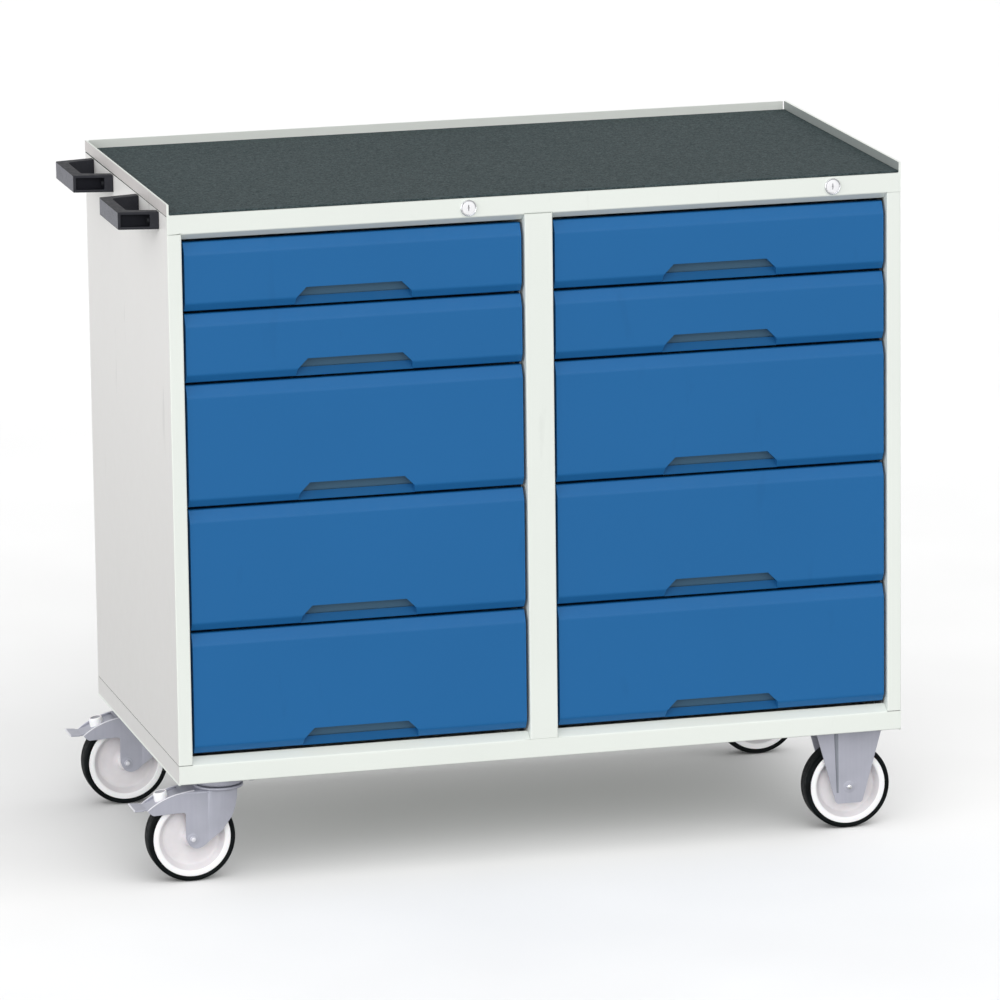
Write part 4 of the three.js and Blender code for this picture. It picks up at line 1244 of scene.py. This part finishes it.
def fixed_fork(end, zinc, groove_shade_zinc):
    """A plate with two pressed cheeks, each stiffened by a tapering rib."""
    label = f"right_{end}"
    node = f"castor_fork_{label}"
    low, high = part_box(node)
    centre = (low + high) / 2
    bottom = low.z / MM
    top = high.z / MM
    outline = [(-49.5, top - 1), (-20.3, bottom + 4)]
    outline += curve((-20.3, bottom + 4), (-19.5, bottom), (-15, bottom), 6, 1)
    outline += [(15, bottom)] + curve((15, bottom), (19.5, bottom), (20.3, bottom + 4), 6, 1)
    outline += [(49.5, top - 1)]
    pieces = [moved(top_plate("plate", zinc), 0, 0, high.z)]
    for side in (-1, 1):
        y0, y1 = sorted((side * (FORK_HALF - 3), side * FORK_HALF))
        cheek = upright_prism("cheek", outline, y0, y1, zinc)
        groove = [(-19.6 + 0.2 * k, side * 22.0, top + 4 - (top - bottom - 12) * k / 12) for k in range(13)]
        radii = [3.4 - 0.13 * k for k in range(13)]
        cutter = sweep("groove", groove, radii, (0, 1, 0), zinc, 16, 0.75)
        for piece in (cutter, cheek):
            more_materials(piece, groove_shade_zinc)
        # painted shade: the groove's faces take a darker zinc that stands for the shadow in the groove
        paint_faces(cutter, 1, lambda face: True)
        boolean(cheek, cutter, "DIFFERENCE")
        pieces.append(soften(cheek, 0.8 * MM, 3, 28))
        pieces.append(weld_fillet(side * FORK_HALF, side, top - PLATE_SHEET, zinc))
    whole = moved(joined(f"fixed_fork_{label}", pieces), centre.x, centre.y, 0)
    stand_for(whole, node, "cabinet")
    bolts = plate_bolts(f"plate_bolts_{label}", centre, high.z - (PLATE_SHEET + 0.05) * MM, zinc)
    add_to(bolts, "cabinet")


def weld_fillet(y, side, z, zinc):
    """A run of weld where a cheek meets its plate."""
    outline = [(y, z), (y + side * 3, z), (y + side * 1.2, z - 1.2), (y, z - 3)]
    return soften(long_prism("weld", outline, -40, 40, zinc), 0.3 * MM, 2)


def castors(zinc, highlight_zinc, groove_shade_zinc, rubber, nylon, ring_nylon, dish_reflection_nylon, bright):
    for end in ENDS:
        swivel_head(end, zinc)
        swivel_fork(end, zinc, highlight_zinc)
        brake(end, zinc, highlight_zinc, ring_nylon, dish_reflection_nylon)
        wheel(end, "left", rubber, nylon, ring_nylon)
        axle(end, "left", f"castor_swivel_left_{end}", zinc, highlight_zinc)
        fixed_fork(end, zinc, groove_shade_zinc)
        wheel(end, "right", rubber, nylon, ring_nylon)
        axle(end, "right", "cabinet", zinc, bright)


# ---------- the whole cabinet ----------
look_camera()
studio(floor())

frame_paint = powder_coat("frame_paint", srgb(232, 237, 231))
# painted light and shade: the ends' paint is a lighter, warmer copy of the frame paint and darkens towards
# the floor
side_light_and_shade_paint = powder_coat("side_light_and_shade_paint", srgb(244, 243, 241), scuff=0.83, shade_below=srgb(220, 219, 217))
# painted shade: darker copies of the frame paint for the tray's lips
lip_side_shade = powder_coat("lip_side_painted_shade", srgb(151, 157, 155))
lip_rear_shade = powder_coat("lip_rear_painted_shade", srgb(216, 219, 214))
lip_outer_shade = powder_coat("lip_outer_painted_shade", srgb(216, 212, 210))
drawer_paint = powder_coat("drawer_paint", srgb(30, 101, 159), 0.42, 0.95, 0.2)
# painted shade: a dark grey-blue for the inside of the grip pocket
recess_shade_paint = powder_coat("recess_shade_paint", srgb(68, 101, 125), 0.5, 0.96, 0.15)
# painted shade: a darker blue for the grip's lip
lip_shade_paint = powder_coat("grip_lip_painted_shade", srgb(14, 85, 137), 0.5, 0.95, 0.15)
# painted shade: near-black blue for the lowest rows of each drawer front
edge_shade_paint = powder_coat("front_edge_painted_shade", srgb(8, 32, 62), 0.5, 0.95, 0.1)
box_paint = powder_coat("drawer_box_paint", srgb(214, 218, 218))
rubber_mat = mat_sheet()
handle_plastic = moulded_plastic(
    "handle_plastic", srgb(31, 32, 39), 0.55, specks=srgb(62, 63, 70), gloss=0.3)
# a lighter, grainier copy of the handle plastic for the grip's outward faces
grip_face_plastic = moulded_plastic(
    "handle_grip_plastic", srgb(120, 121, 128), 0.6, 700.0, 0.6, specks=srgb(190, 191, 196), gloss=0.4)
# painted shade: near-black plastic for the inside of the handle pockets
pocket_shade_plastic = moulded_plastic("handle_pocket_painted_shade", srgb(22, 23, 29), 0.65, gloss=0.1)
# painted shade: near-black strips in the side panels' seams stand for the shadow in the gaps
seam_shade = moulded_plastic("seam_painted_shade", srgb(26, 26, 26), 0.7, gloss=0.05)
zinc = zinc_plate("zinc_plate", srgb(176, 178, 189), srgb(186, 187, 199))
# painted highlight: a light zinc for beads along edges and for the swivel axle heads
highlight_zinc = zinc_plate("zinc_painted_highlight", srgb(222, 222, 229), srgb(238, 238, 243), 0.2)
# painted shade: a darker zinc for the grooves in the fixed forks' cheeks
groove_shade_zinc = zinc_plate("zinc_groove_painted_shade", srgb(124, 128, 137), srgb(142, 146, 155), 0.2)
satin = zinc_plate("lock_face", srgb(244, 244, 246), srgb(251, 251, 252), 0.15)
steel = galvanised_steel()
chrome = bright_chrome()
tyre_rubber = black_tyre()
# painted shade: a darker, slightly pink copy of the white nylon for the wheel discs
nylon = white_nylon("wheel_nylon", srgb(222, 218, 221), srgb(234, 231, 233))
ring_nylon = white_nylon("ring_nylon", srgb(250, 250, 251), srgb(254, 254, 255))
# painted reflection: a grey copy of the white nylon for the brake button's dish
dish_reflection_nylon = white_nylon("button_dish_painted_reflection", srgb(158, 158, 164), srgb(172, 172, 178))
# painted shade: near-black steel for the handle screws
dark = dark_steel()

carcass(frame_paint, side_light_and_shade_paint, lip_side_shade, lip_rear_shade, lip_outer_shade)
base_hems(frame_paint)
seam_strips(seam_shade)
mat(rubber_mat)
drawers((drawer_paint, recess_shade_paint, lip_shade_paint, edge_shade_paint), box_paint)
runners(steel)
locks(chrome, satin, steel)
push_handles(handle_plastic, grip_face_plastic, pocket_shade_plastic, dark)
castors(zinc, highlight_zinc, groove_shade_zinc, tyre_rubber, nylon, ring_nylon, dish_reflection_nylon, chrome)
